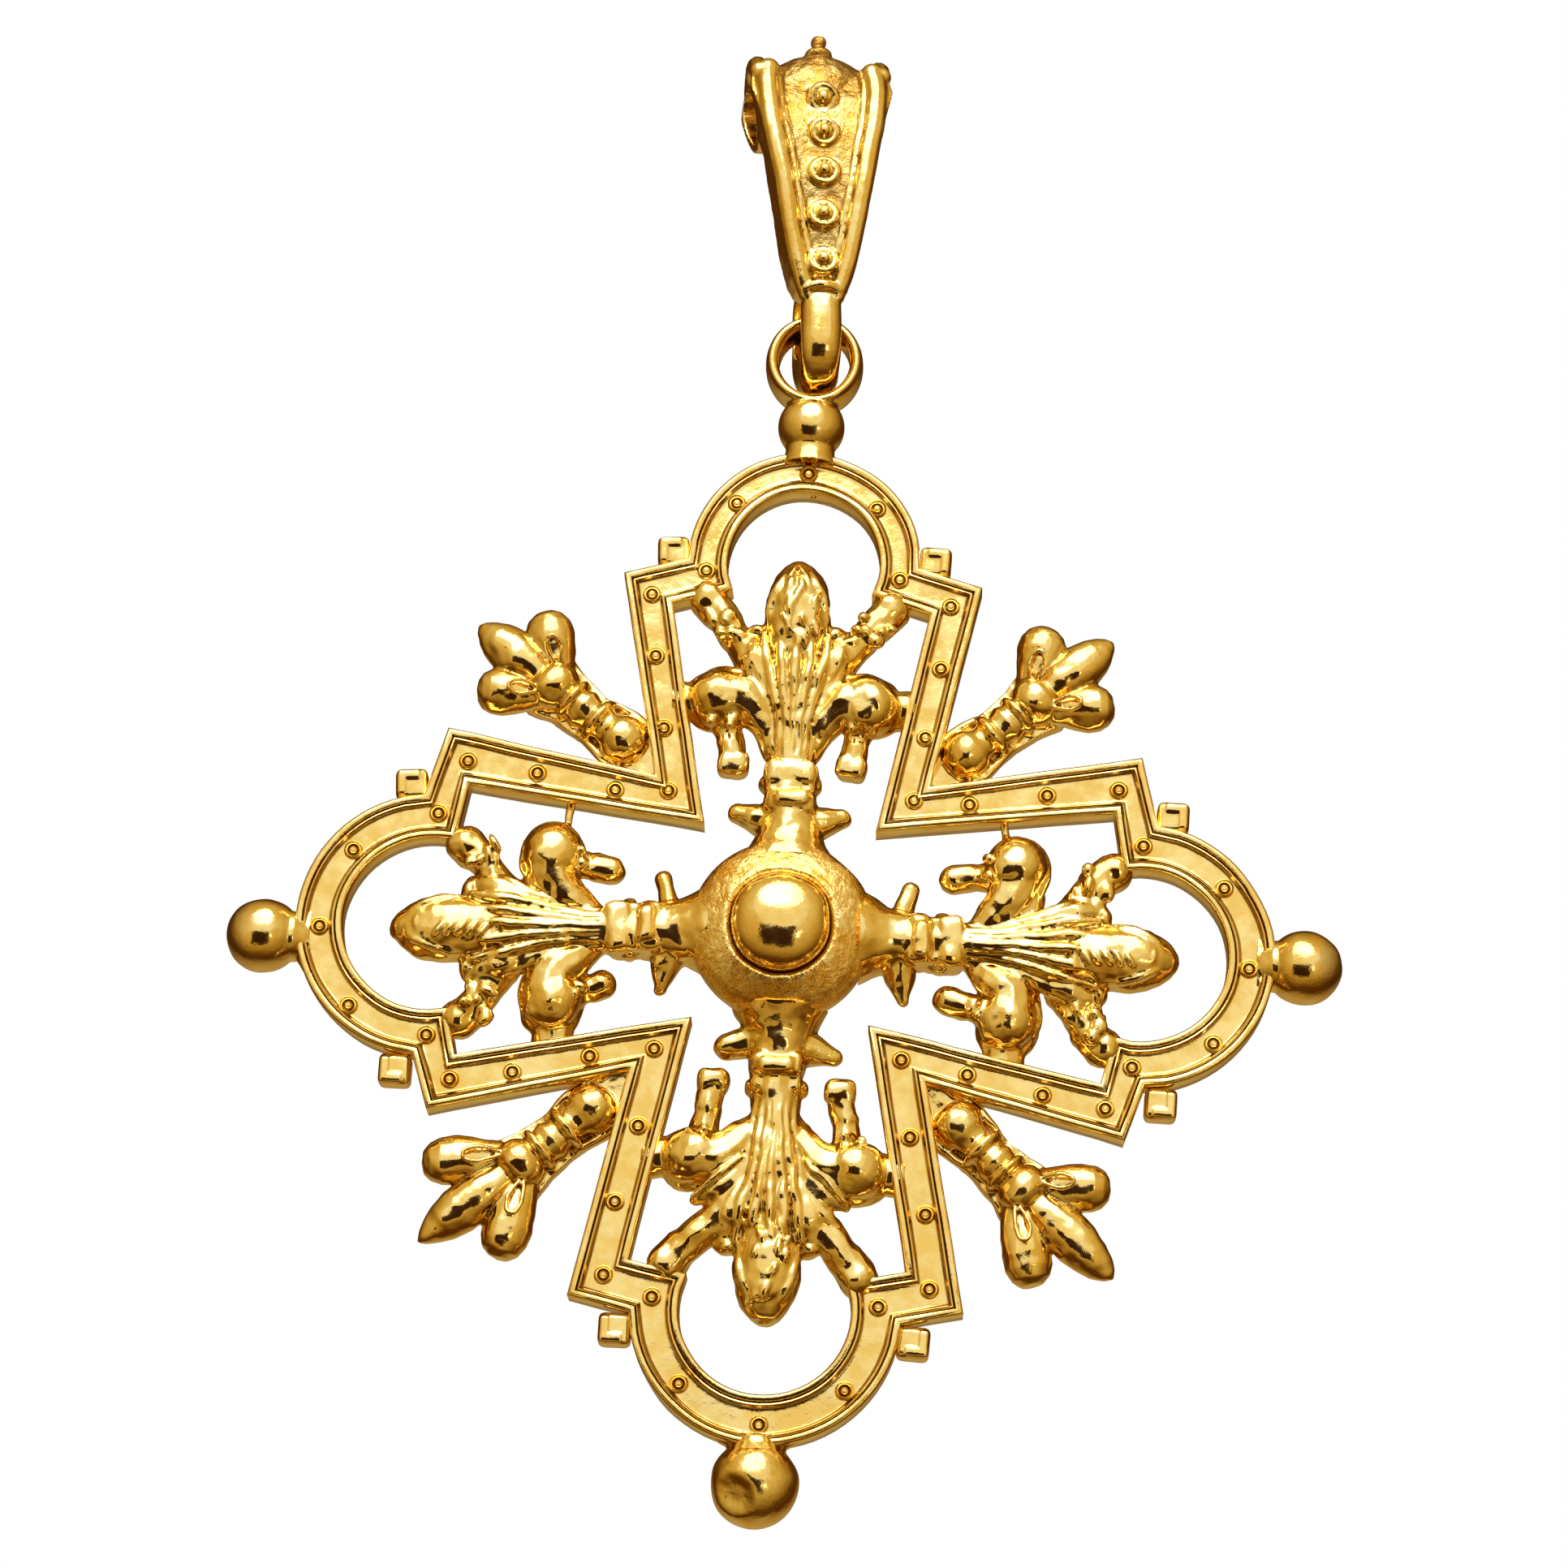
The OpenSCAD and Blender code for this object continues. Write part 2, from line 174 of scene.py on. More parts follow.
def chip(centre, halves, bevel, turn=0.0):
    """A small block with rounded edges, its halves given across, up and front."""
    clear()
    bpy.ops.mesh.primitive_cube_add(
        size=2 * MM, location=at(*centre), rotation=(0, -math.radians(turn), 0),
        scale=(halves[0], halves[2], halves[1]),
    )
    piece = settle(bpy.context.object)
    edit()
    pick_all()
    bpy.ops.mesh.bevel(offset=bevel * MM, segments=3, affect="EDGES")
    leave_edit()
    return piece


def first_vertex(point):
    """Starts a mesh, or a new line in the one being edited, with a single vertex."""
    bpy.ops.mesh.primitive_plane_add(size=MM, location=point)
    if bpy.context.object.mode != "EDIT":
        edit()
        bpy.ops.mesh.select_mode(type="VERT")
        pick_all()
    bpy.ops.mesh.merge(type="CENTER")


def draw_line(points):
    for start, end in zip(points, points[1:]):
        bpy.ops.mesh.extrude_vertices_move(TRANSFORM_OT_translate={"value": end - start})


def finish_skin():
    """Merges what meets, turns the faces outwards and leaves edit mode."""
    pick_all()
    bpy.ops.mesh.remove_doubles(threshold=MERGE / 2)
    bpy.ops.mesh.normals_make_consistent(inside=False)
    leave_edit()
    return settle(bpy.context.object)


def lathe(profile, steps):
    """Spins rows of radius and height, in mm, about the upright axis through the world's origin."""
    clear()
    points = [Vector((radius, 0, height)) * MM for radius, height in profile]
    first_vertex(points[0])
    draw_line(points)
    pick_all()
    bpy.ops.mesh.spin(steps=steps, angle=math.tau, center=(0, 0, 0), axis=(0, 0, 1))
    return finish_skin()


def mirrored(corners, front):
    """Places across and up at a depth, followed by the same on the other side, from the last to the first."""
    return [at(x, y, front) for x, y in corners] + [at(-x, y, front) for x, y in reversed(corners)]


def plate(points, move):
    """A flat outline of places, thickened by a move."""
    clear()
    first_vertex(points[0])
    draw_line(list(points) + [points[0]])
    pick_all()
    bpy.ops.mesh.remove_doubles(threshold=MERGE)
    bpy.ops.mesh.edge_face_add()
    bpy.ops.mesh.extrude_region_move(TRANSFORM_OT_translate={"value": move})
    return finish_skin()


def strand(points, radii, flat=1.0, round_ends=True):
    """A round rod through places, with a radius at each, thinned or thickened front to back."""
    clear()
    base = at(0, 0, points[0][2])
    bpy.ops.curve.primitive_bezier_curve_add()
    rod = bpy.context.object
    rod.data.splines.clear()
    spline = rod.data.splines.new("BEZIER")
    spline.bezier_points.add(len(points) - 1)
    for knob, point, radius in zip(spline.bezier_points, points, radii):
        knob.co = at(*point) - base
        knob.handle_left_type = knob.handle_right_type = "AUTO"
        knob.radius = radius
    rod.data.dimensions = "3D"
    rod.data.bevel_depth = MM
    rod.data.bevel_resolution = 3
    rod.data.resolution_u = 5
    rod.data.use_fill_caps = True
    rod.location = base
    rod.scale = (1, flat, 1)
    bpy.ops.object.convert(target="MESH")
    rod = settle(bpy.context.object)
    if not round_ends:
        return rod
    ends = [blob(point, (radius, radius, radius * flat), fine=14)
            for point, radius in ((points[0], radii[0]), (points[-1], radii[-1]))]
    return gather([rod] + ends, "rod")


def finish_with(piece, kind, **settings):
    """Adds one modifier, sets it and applies it."""
    pick(piece)
    bpy.ops.object.modifier_add(type=kind)
    modifier = piece.modifiers[-1]
    for name, value in settings.items():
        setattr(modifier, name, value)
    bpy.ops.object.modifier_apply(modifier=modifier.name)
    return piece


def cut(piece, tool, operation="DIFFERENCE"):
    finish_with(piece, "BOOLEAN", operation=operation, object=tool, solver="EXACT")
    bpy.data.objects.remove(tool)
    return piece


def cast(piece, voxel, rounds):
    """Melts the overlapping parts of a casting into one skin and softens it."""
    finish_with(piece, "REMESH", mode="VOXEL", voxel_size=voxel * MM, use_smooth_shade=True)
    if rounds:
        finish_with(piece, "SMOOTH", factor=0.5, iterations=rounds)
    pick(piece)
    bpy.ops.object.shade_smooth()
    return piece


def lighten(piece):
    """Halves the faces of a finished casting, which keeps its shape. It comes after every cut."""
    return finish_with(piece, "DECIMATE", ratio=0.5)


def twin(piece):
    """A copy with its own mesh."""
    pick(piece)
    bpy.ops.object.duplicate(linked=False)
    return bpy.context.object


def copy_to(piece, turn, spot):
    """A copy turned in degrees to the left, then moved."""
    copy = twin(piece)
    copy.rotation_euler = (0, -math.radians(turn), 0)
    copy.location = spot
    return settle(copy)


def choose_faces(piece, wanted):
    """Selects the faces of the piece in edit mode whose centre and normal pass a test."""
    bpy.ops.mesh.select_mode(type="FACE")
    bpy.ops.mesh.select_all(action="DESELECT")
    mesh = bmesh.from_edit_mesh(piece.data)
    for face in mesh.faces:
        if wanted(face.calc_center_median(), face.normal):
            face.select_set(True)
    mesh.select_flush_mode()
    bmesh.update_edit_mesh(piece.data)


def faces_where(piece, wanted):
    """The numbers of the faces whose centre and normal pass a test."""
    pick(piece)
    edit()
    choose_faces(piece, wanted)
    leave_edit()
    return [face.index for face in piece.data.polygons if face.select]


def give_second(piece, faces):
    """Gives faces the second of a piece's finishes."""
    for index in faces:
        piece.data.polygons[index].material_index = 1


def shade(piece, degrees):
    """Shades a piece smoothly, but for the edges sharper than an angle."""
    pick(piece)
    bpy.ops.object.shade_smooth_by_angle(angle=math.radians(degrees))


def dress(piece, body, slot, finishes, *nodes):
    """Gives a piece its finishes, its body and the nodes that it stands for. Its slot is not used."""
    piece.data.materials.clear()
    for finish in finishes:
        piece.data.materials.append(bpy.data.materials.get(finish) or gold(finish, *FINISHES[finish]))
    # How deep each place lies in its surroundings, for the painted brown shade of the hollows
    pick(piece)
    bpy.ops.geometry.color_attribute_add(
        name="hollow", domain="CORNER", data_type="FLOAT_COLOR", color=(1, 1, 1, 1))
    bpy.ops.paint.vertex_color_dirt(blur_strength=1.0, blur_iterations=1, dirt_only=False, normalize=False)
    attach(piece, body)
    if nodes:
        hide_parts(*nodes)


# Materials


class Wire:
    """A socket of a material, so that its maths reads as plain arithmetic."""

    def __init__(self, recipe, socket):
        self.recipe = recipe
        self.socket = socket

    def maths(self, operation, *values):
        return self.recipe.add("ShaderNodeMath", {"operation": operation}, dict(enumerate(values)))["Value"]

    def __add__(self, other):
        return self.maths("ADD", self, other)

    def __radd__(self, other):
        return self.maths("ADD", other, self)

    def __mul__(self, other):
        return self.maths("MULTIPLY", self, other)

    def __rmul__(self, other):
        return self.maths("MULTIPLY", other, self)


class Recipe:
    """The nodes of one material, or of the room's light."""

    def __init__(self, owner):
        owner.use_nodes = True
        self.owner = owner
        self.tree = owner.node_tree
        self.tree.nodes.clear()

    def add(self, kind, settings=None, sockets=None):
        """Adds a node, sets it, then gives its sockets their values or links. Returns its outputs."""
        node = self.tree.nodes.new(kind)
        for name, value in (settings or {}).items():
            if name == "stops":
                ramp = node.color_ramp
                while len(ramp.elements) < len(value):
                    ramp.elements.new(0.5)
                for element, (position, colour) in zip(ramp.elements, value):
                    element.position = position
                    element.color = colour
            else:
                setattr(node, name, value)
        for name, value in (sockets or {}).items():
            if isinstance(value, Wire):
                self.tree.links.new(value.socket, node.inputs[name])
            else:
                node.inputs[name].default_value = value
        return {socket.name: Wire(self, socket) for socket in node.outputs if socket.enabled}

    def noise(self, place, scale, detail, roughness=0.55):
        return self.add("ShaderNodeTexNoise", {}, {
            "Vector": place, "Scale": scale, "Detail": detail, "Roughness": roughness,
        })["Fac"]

    def between(self, value, low, high, out_low=0.0, out_high=1.0):
        return self.add("ShaderNodeMapRange", {"interpolation_type": "SMOOTHSTEP"}, {
            "Value": value, "From Min": low, "From Max": high, "To Min": out_low, "To Max": out_high,
        })["Result"]

    def blend(self, factor, first, second):
        sockets = {"Factor": factor, 6: first, 7: second}
        return self.add("ShaderNodeMix", {"data_type": "RGBA"}, sockets)["Result"]

    def end(self, surface, kind="ShaderNodeOutputMaterial"):
        self.add(kind, {}, {"Surface": surface})
        return self.owner


# Lumps to a metre in the casting's clouds, patches and specks
CLOUDS = 330.0
PATCHES = 900.0
SPECKS = 3800.0
# Where the rubbing of the outer ends begins and is complete, from the middle, in mm
RUBBED = (37.7, 39.2)
# Grain from 0, polished, to 1, sandy, wear at the outer ends, and painted brown shade all over
FINISHES = {
    "polished_gilt": (0.0, 0.0, 0.0),
    "sandy_gilt": (0.8, 0.0, 0.0),
    "shaded_gilt": (0.2, 0.0, 0.6),
    "hammered_gilt_painted_shade": (0.9, 0.0, 0.5),
    "rubbed_gilt": (0.1, 0.7, 0.0),
}


def gold(name, grain, wear, painted_shade):
    """Gilded brass, mottled by casting, with painted brown shade in its hollows."""
    colours = bpy.context.scene.gilding
    recipe = Recipe(bpy.data.materials.new(name))
    place_on = recipe.add("ShaderNodeTexCoord")["Object"]
    clouds = recipe.noise(place_on, CLOUDS, 3.0)
    patches = recipe.noise(place_on, PATCHES + 700.0 * grain, 4.0, 0.6)
    specks = recipe.noise(place_on, SPECKS, 3.0)
    hollow = recipe.add("ShaderNodeVertexColor", {"layer_name": "hollow"})["Color"]
    deep = recipe.between(hollow, 0.49, 0.445)
    mottle = recipe.between(clouds * 0.5 + patches * 0.5, 0.38, 0.62)
    # Sandy skins lose more blue than red
    low = tuple(value * (1 - loss * grain) for value, loss in zip(colours.deep, (0.15, 0.32, 0.6)))
    shade_brown = tuple(colours.hollow) + (1,)
    colour = recipe.blend(mottle, low + (1,), tuple(colours.bright) + (1,))
    # Painted shade: the hollows are blended toward brown
    colour = recipe.blend(deep * 0.9, colour, shade_brown)
    # Painted shade over every face of the finish, used on the grooves' sides and the bail's panel
    if painted_shade:
        colour = recipe.blend(painted_shade, colour, shade_brown)
    if wear:
        # Rubbed at the outer ends, left and right
        across = recipe.add("ShaderNodeSeparateXYZ", {}, {"Vector": place_on})["X"]
        reach = across.maths("ABSOLUTE", across)
        rubbed = recipe.between(reach + clouds * (4 * MM), RUBBED[0] * MM, RUBBED[1] * MM)
        colour = recipe.blend(rubbed * wear, colour, tuple(colours.brass) + (1,))
    smooth, dull = colours.polish + 0.1 * grain, colours.polish + 0.1 + 0.2 * grain
    rough = recipe.between(patches, 0.3, 0.75, smooth, dull)
    rough = rough + deep * 0.25
    swell = recipe.add("ShaderNodeBump", {}, {
        "Strength": 0.35 + 0.5 * grain, "Distance": (0.13 + 0.2 * grain) * MM,
        "Height": patches * 0.7 + clouds * 0.5,
    })["Normal"]
    skin = recipe.add("ShaderNodeBump", {}, {
        "Strength": 0.08 + 0.8 * grain, "Distance": 0.035 * MM, "Height": specks, "Normal": swell,
    })["Normal"]
    shader = recipe.add("ShaderNodeBsdfPrincipled", {}, {
        "Base Color": colour, "Metallic": 1.0, "Roughness": rough, "Normal": skin,
    })["BSDF"]
    return recipe.end(shader)


def matt(name, colour, lumps, detail, low, high):
    """A matt skin of the studio, with a roughness that varies from low to high."""
    recipe = Recipe(bpy.data.materials.new(name))
    mottle = recipe.noise(recipe.add("ShaderNodeTexCoord")["Object"], lumps, detail)
    return recipe.end(recipe.add("ShaderNodeBsdfPrincipled", {}, {
        "Base Color": tuple(colour) + (1,), "Roughness": recipe.between(mottle, 0.3, 0.7, low, high),
    })["BSDF"])


# Sizes and colours that a user may change


class CastingSizes(bpy.types.PropertyGroup):
    skin: FloatProperty(name="Skin", description="Grain of the cast skins", default=0.11 * MM, unit="LENGTH")
    fine_skin: FloatProperty(
        name="Fine skin", description="Grain of the finials' skins", default=0.1 * MM, unit="LENGTH")
    wave: FloatProperty(
        name="Wave", description="How far the band's edges wander", default=0.14 * MM, unit="LENGTH")
    softening: IntProperty(name="Softening", description="Rounds of smoothing on a casting", default=4)


class Gilding(bpy.types.PropertyGroup):
    bright: FloatVectorProperty(
        name="Bright", description="Gold of the high places", default=(0.98, 0.76, 0.3), subtype="COLOR")
    deep: FloatVectorProperty(
        name="Deep", description="Gold of the mottled places", default=(0.9, 0.6, 0.15), subtype="COLOR")
    # Brown of the painted shade in the hollows and of the shaded finishes
    hollow: FloatVectorProperty(
        name="Hollow", description="Brown of the hollows", default=(0.2, 0.08, 0.012), subtype="COLOR")
    brass: FloatVectorProperty(
        name="Brass", description="Bare metal where the gilding is worn", default=(0.62, 0.5, 0.33),
        subtype="COLOR")
    polish: FloatProperty(
        name="Polish", description="Roughness of the polished places", default=0.08, subtype="FACTOR")


class Studio(bpy.types.PropertyGroup):
    pale: FloatVectorProperty(
        name="Pale", description="Colour of the floor", default=(0.93, 0.93, 0.93), subtype="COLOR")
    key_power: FloatProperty(name="Key", description="Power of the soft key light", default=2.6, unit="POWER")
    spark_power: FloatProperty(
        name="Spark", description="Power of the small low light", default=0.02, unit="POWER")
    floor: FloatProperty(name="Floor", description="Height of the floor", default=-0.45, unit="LENGTH")


# The band


def arc(arch, radius_column, start, end, count):
    """Places along an arch from one corner to another, the long way round its outside."""
    centre = Vector((arch[0], arch[1]))
    first = math.atan2(start[1] - centre.y, start[0] - centre.x)
    last = math.atan2(end[1] - centre.y, end[0] - centre.x)
    while last > first:
        last -= math.tau
    radius = arch[radius_column]
    angles = [first + (last - first) * step / count for step in range(count + 1)]
    return [(centre.x + radius * math.cos(a), centre.y + radius * math.sin(a)) for a in angles]


def band_outline(outer):
    """One edge of the band, clockwise from the top arch, as places across and up."""
    first, second = (6, 4) if outer else (2, 0)

    def upright(side, arm):
        return [(side[first + 1], arm * side[first]), (side[second + 1], arm * side[second])]

    def level(side, way):
        return [(side[first], way * side[first + 1]), (side[second], way * side[second + 1])]

    tip = 2 if outer else 0
    column = 2 if outer else 3
    top, upper = upright(TOP_SIDE, 1), level(UPPER_SIDE, 1)
    lower, bottom = level(LOWER_SIDE, -1), upright(BOTTOM_SIDE, -1)
    half = [top[0], top[1], UPPER_CHEVRON[tip:tip + 2], upper[1], upper[0], lower[0], lower[1],
            LOWER_CHEVRON[tip:tip + 2], bottom[1], bottom[0]]
    corners = half + [(-x, y) for x, y in reversed(half)]
    places = []
    arches = {4: ARCHES[1], 9: ARCHES[2], 14: ARCHES[3], 19: ARCHES[0]}
    for index, start in enumerate(corners):
        end = corners[(index + 1) % len(corners)]
        if index in arches:
            # Without the steps next to the corners, so that the rims have room for their mitres
            curve = arc(arches[index], column, start, end, 36)
            places += curve[:1] + curve[2:-2]
        else:
            places.append(start)
    return places


# Front of the band's blank and its thickness, before its rims are raised, in mm
BLANK_FRONT = -0.14
BLANK_DEPTH = 2.32
# Longer edges of the band are divided, so that they can wander, in mm
LONGEST_EDGE = 2.2
# Depth of the floor between the rims, on which the studs stand, in mm
STUD_FOOT = -0.42
# Steps in from each edge of the band's front: inset and rise, in mm
LIP = ((0.1, 0.11), (0.14, 0.03), (0.18, -0.05), (0.08, -0.2), (0.07, 0.12), (0.1, 0.02), (0.07, -0.12),
       (0.1, -0.2), (0.08, -0.02), (0.1, -0.01), (0.12, 0.0))


def band():
    clear()
    for outer in (True, False):
        places = [at(across, up, BLANK_FRONT) for across, up in band_outline(outer)]
        if not outer:
            bpy.ops.mesh.select_all(action="DESELECT")
        first_vertex(places[0])
        draw_line(places + [places[0]])
    pick_all()
    bpy.ops.mesh.remove_doubles(threshold=MERGE)
    bpy.ops.mesh.bridge_edge_loops()
    pick_all()
    bpy.ops.mesh.extrude_region_move(TRANSFORM_OT_translate={"value": (0, BLANK_DEPTH * MM, 0)})
    piece = finish_skin()
    for facing, steps in ((-1, LIP), (1, ((0.14, 0.14), (0.14, 0)))):
        edit()
        choose_faces(piece, lambda centre, normal: normal.y * facing > 0.9)
        for inset, rise in steps:
            bpy.ops.mesh.inset(thickness=inset * MM, depth=rise * MM, use_boundary=True, use_even_offset=True)
        leave_edit()
    edit()
    for _ in range(3):
        bpy.ops.mesh.select_mode(type="EDGE")
        bpy.ops.mesh.select_all(action="DESELECT")
        mesh = bmesh.from_edit_mesh(piece.data)
        for edge in mesh.edges:
            edge.select_set(edge.calc_length() > LONGEST_EDGE * MM)
        bmesh.update_edit_mesh(piece.data)
        bpy.ops.mesh.subdivide(number_cuts=1)
    leave_edit()
    return piece


def wander(piece, size, strength, axes="XZ"):
    """Lets a skin wander a little, as a hand cut master does."""
    texture = bpy.data.textures.new("wander", "CLOUDS")
    texture.noise_scale = size * MM
    texture.noise_depth = 1
    for axis in axes:
        finish_with(piece, "DISPLACE", texture=texture, texture_coords="LOCAL", direction=axis,
                    strength=strength, mid_level=0.5)
    return piece


def band_stud():
    """A ring with a dot in it, drawn upright at the origin and then laid to face the front."""
    return face_front(lathe([
        (0, 0.3), (0.17, 0.29), (0.27, 0.2), (0.33, 0.0), (0.4, -0.04), (0.46, 0.04), (0.52, 0.19),
        (0.6, 0.24), (0.68, 0.2), (0.76, 0.04), (0.8, -0.1)], 24))


class PENDANT_OT_band(bpy.types.Operator):
    """Model the openwork band with its rims, studs and lugs"""

    bl_idname = "pendant.band"
    bl_label = "Band"

    def execute(self, context):
        chance = random.Random(7)
        rim = band()
        wander(rim, 5.0, context.scene.casting_sizes.wave)
        stud = band_stud()
        stud.scale = (0.86, 1, 0.86)
        settle(stud)
        studs = []
        for way in (1, -1):
            for across, up in STUDS:
                spot = at(way * across + chance.uniform(-0.08, 0.08), up + chance.uniform(-0.08, 0.08),
                          STUD_FOOT)
                studs.append(copy_to(stud, chance.uniform(-30, 30), spot))
        studs += [copy_to(stud, 0, at(across, up, STUD_FOOT)) for across, up in MIDDLE_STUDS]
        bpy.data.objects.remove(stud)
        studs = gather(studs, "studs")
        shade(studs, 40)
        dress(studs, "cross", "gilt", ["polished_gilt"])
        lugs = []
        for way in (1, -1):
            for across, up in LUGS:
                # A rounded block with a raised step along two of its edges
                turn = chance.uniform(-4, 4)
                away = math.copysign(0.62, up)
                for spot, halves, bevel in (
                        ((way * across, up, -1.45), (1.1, 1.1, 0.95), 0.4),
                        ((way * (across + 0.2), up + away, -0.75), (0.8, 0.36, 0.36), 0.2),
                        ((way * (across + 0.66), up, -0.75), (0.34, 0.85, 0.36), 0.2)):
                    lugs.append(chip(spot, halves, bevel, turn))
        # Casting nib under the top arch
        lugs.append(blob((0.4, 31.85, -1.2), (0.24, 0.24, 0.26), fine=12))
        lugs = lighten(cast(gather(lugs, "lugs"), 0.09, 3))
        dress(lugs, "cross", "gilt", ["polished_gilt"])
        rim.name = rim.data.name = "band"
        # The steep sides of the grooves between the rims get a finish with painted shade
        grooves = faces_where(rim, lambda centre, normal: 0.25 < -normal.y < 0.62)
        shade(rim, 50)
        dress(rim, "cross", "gilt", ["polished_gilt", "shaded_gilt"], "frame")
        give_second(rim, grooves)
        return {"FINISHED"}


# The boss

# Radius and height of the base and its rim, the groove and the button
BOSS = ((0, -2.6), (3, -2.6), (5.1, -2.6), (5.5, -2.1), (5.9, -1.3), (6.12, -0.5), (6.25, 0.3),
        (6.25, 0.9), (6.13, 1.35), (5.95, 1.75), (5.65, 2.12), (5.3, 2.4), (4.95, 2.62), (4.6, 2.82),
        (4.25, 3.0), (3.95, 3.16), (3.8, 3.2), (3.65, 3.14), (3.52, 2.98), (3.44, 2.84), (3.38, 2.9),
        (3.4, 3.3), (3.36, 3.55), (3.2, 3.98), (2.95, 4.33), (2.6, 4.62), (2.1, 4.9), (1.5, 5.12),
        (0.8, 5.26), (0, 5.3))
# Radius of the polished button
BUTTON = 3.45


class PENDANT_OT_boss(bpy.types.Operator):
    """Turn the sandy base and the polished button"""

    bl_idname = "pendant.boss"
    bl_label = "Boss"

    def execute(self, context):
        piece = face_front(lathe(BOSS, 96), at(-0.2, 0.1, 0))
        wander(piece, 3.0, 0.2 * MM)
        piece.name = piece.data.name = "boss_turned"
        middle = at(0, 0, 0)
        base = faces_where(piece, lambda centre, normal: math.hypot(
            centre.x - middle.x, centre.z - middle.z) > BUTTON * MM)
        shade(piece, 60)
        dress(piece, "cross", "gilt", ["polished_gilt", "sandy_gilt"], "boss")
        give_second(piece, base)
        return {"FINISHED"}


# Fleurs, drawn upright as on the top arm, then turned to their arms

# Radius and distance out of the neck, the stem and the bud
STEM = ((0, 5.0), (3.3, 5.0), (2.95, 5.7), (2.6, 6.3), (2.3, 7.0), (2.12, 7.8), (2.0, 8.6), (1.9, 9.2),
        (1.75, 10), (1.65, 12.4), (1.35, 12.8), (1.25, 13.6), (1.25, 15), (1.4, 17), (1.75, 19),
        (2.05, 20.5), (2.25, 21.6), (2.32, 22.6), (2.27, 23.7), (2.05, 24.7), (1.6, 25.6), (1.05, 26.3),
        (0.5, 26.7), (0, 26.8))
# Depth of the stem's axis
STEM_DEPTH = -0.5


def along(rows, height):
    """The first value of rows of value and height, read between them, and at the nearest end past them."""
    for (value, low), (next_value, high) in zip(rows, rows[1:]):
        if low <= height <= high and high > low:
            return value + (next_value - value) * (height - low) / (high - low)
    return rows[0][0] if height < rows[0][1] else rows[-1][0]


def stem(scale_turn, chance, short):
    """Neck, ribs and bud, with slanting scales on one side of the bud or pits all over it."""
    parts = [place(lathe(STEM, 36), 0, 0, 0, STEM_DEPTH)]
    # The blocks of the neck, the lower one with a lip over a dark notch
    parts.append(chip((0, 9.1, -0.35), (1.8, 0.95, 1.85), 0.7, chance.uniform(-3, 3)))
    parts.append(chip((0.1, 9.3, 0.1), (1.3, 0.6, 1.7), 0.5, chance.uniform(-5, 5)))
    parts.append(chip((0, 10.3, -0.6), (1.7, 0.7, 1.6), 0.4))
    if not short:
        parts.append(chip((0, 11.25, -0.45), (1.85, 0.95, 1.75), 0.65, chance.uniform(-4, 4)))
    rib_foot = 10.8 if short else 12.2
    for way in (-1, 1):
        parts.append(blob((way * 1.75, 10.6, -0.4), (0.45, 0.6, 0.9), fine=12))
    # Ribs that fan out from the neck to the bud and the sepals
    for rib in (-3, -2, -1, 0, 1, 2, 3):
        depth = STEM_DEPTH + math.sqrt(max(0.2, 1.55 ** 2 - (rib * 0.43) ** 2))
        side = abs(rib)
        parts.append(strand(
            [(rib * 0.42, rib_foot, depth - 0.12), (rib * 0.46, rib_foot + 2.0, depth),
             (rib * 0.68, 16.8, depth + 0.18), (rib * 0.98, 19.2, depth + 0.3 - 0.12 * side),
             (rib * 1.14, 21.2, depth + 0.1 - 0.2 * side)],
            [0.23, 0.24, 0.33, 0.42, 0.2]))
    # Slanting scales along the lower side of a level bud, or pits and folds, then the folds of its tip
    for row in range(9 if scale_turn else 20):
        if scale_turn:
            out, aside = 17.4 + row * 0.74, scale_turn
            radii, turn = (0.66, 0.21, 0.3), math.copysign(38, scale_turn)
        else:
            out, aside = chance.uniform(16.8, 25.2), chance.uniform(-1.5, 1.5)
            radii = (chance.uniform(0.16, 0.34), chance.uniform(0.45, 1.1), 0.28)
            turn = chance.uniform(-30, 30)
        front = STEM_DEPTH + math.sqrt(max(0.1, along(STEM, out) ** 2 - aside ** 2))
        parts.append(blob((aside, out, front - 0.04), radii, turn, 12))
    for lean in (-1, 1):
        parts.append(strand([(lean * 1.9, 21.6, 0.5), (lean * 1.75, 23.4, 0.9), (lean * 1.0, 25.0, 0.9),
                             (lean * 0.1, 26.1, 0.1)], [0.2, 0.34, 0.34, 0.2]))
    parts.append(strand([(-0.9, 24.5, 1.1), (0, 25.0, 1.25), (0.9, 24.5, 1.1)], [0.16, 0.26, 0.16]))
    return parts


# Columns: volute across, out, bar tip across, out, knot across, out, ear tip across, out, ear radius,
# ball radius
TOP_LEFT = (5.2, 16.6, 4.0, 11.9, 5.5, 22.9, 3.55, 8.6, 0.72, 1.95)
TOP_RIGHT = (5.15, 16.4, 4.1, 11.9, 5.6, 22.5, 3.55, 8.5, 0.72, 2.05)
BOTTOM_LEFT = (5.4, 15.4, 4.3, 10.0, 5.9, 21.6, 3.45, 7.8, 0.95, 1.95)
BOTTOM_RIGHT = (5.6, 15.9, 4.3, 10.4, 5.3, 22.0, 3.8, 8.2, 0.58, 2.0)
UPPER = (5.35, 15.8, 4.3, 11.5, 5.2, 20.8, 3.7, 8.3, 0.62, 2.0)
LOWER = (5.0, 15.6, 3.7, 11.9, 5.4, 20.9, 4.0, 8.4, 0.45, 1.95)
RIGHT_UPPER = (5.75, 15.25, 4.7, 10.75, 5.3, 20.8, 3.7, 8.3, 0.62, 2.0)
RIGHT_LOWER = (5.0, 15.4, 3.75, 10.95, 5.3, 21.0, 4.0, 8.4, 0.45, 1.95)


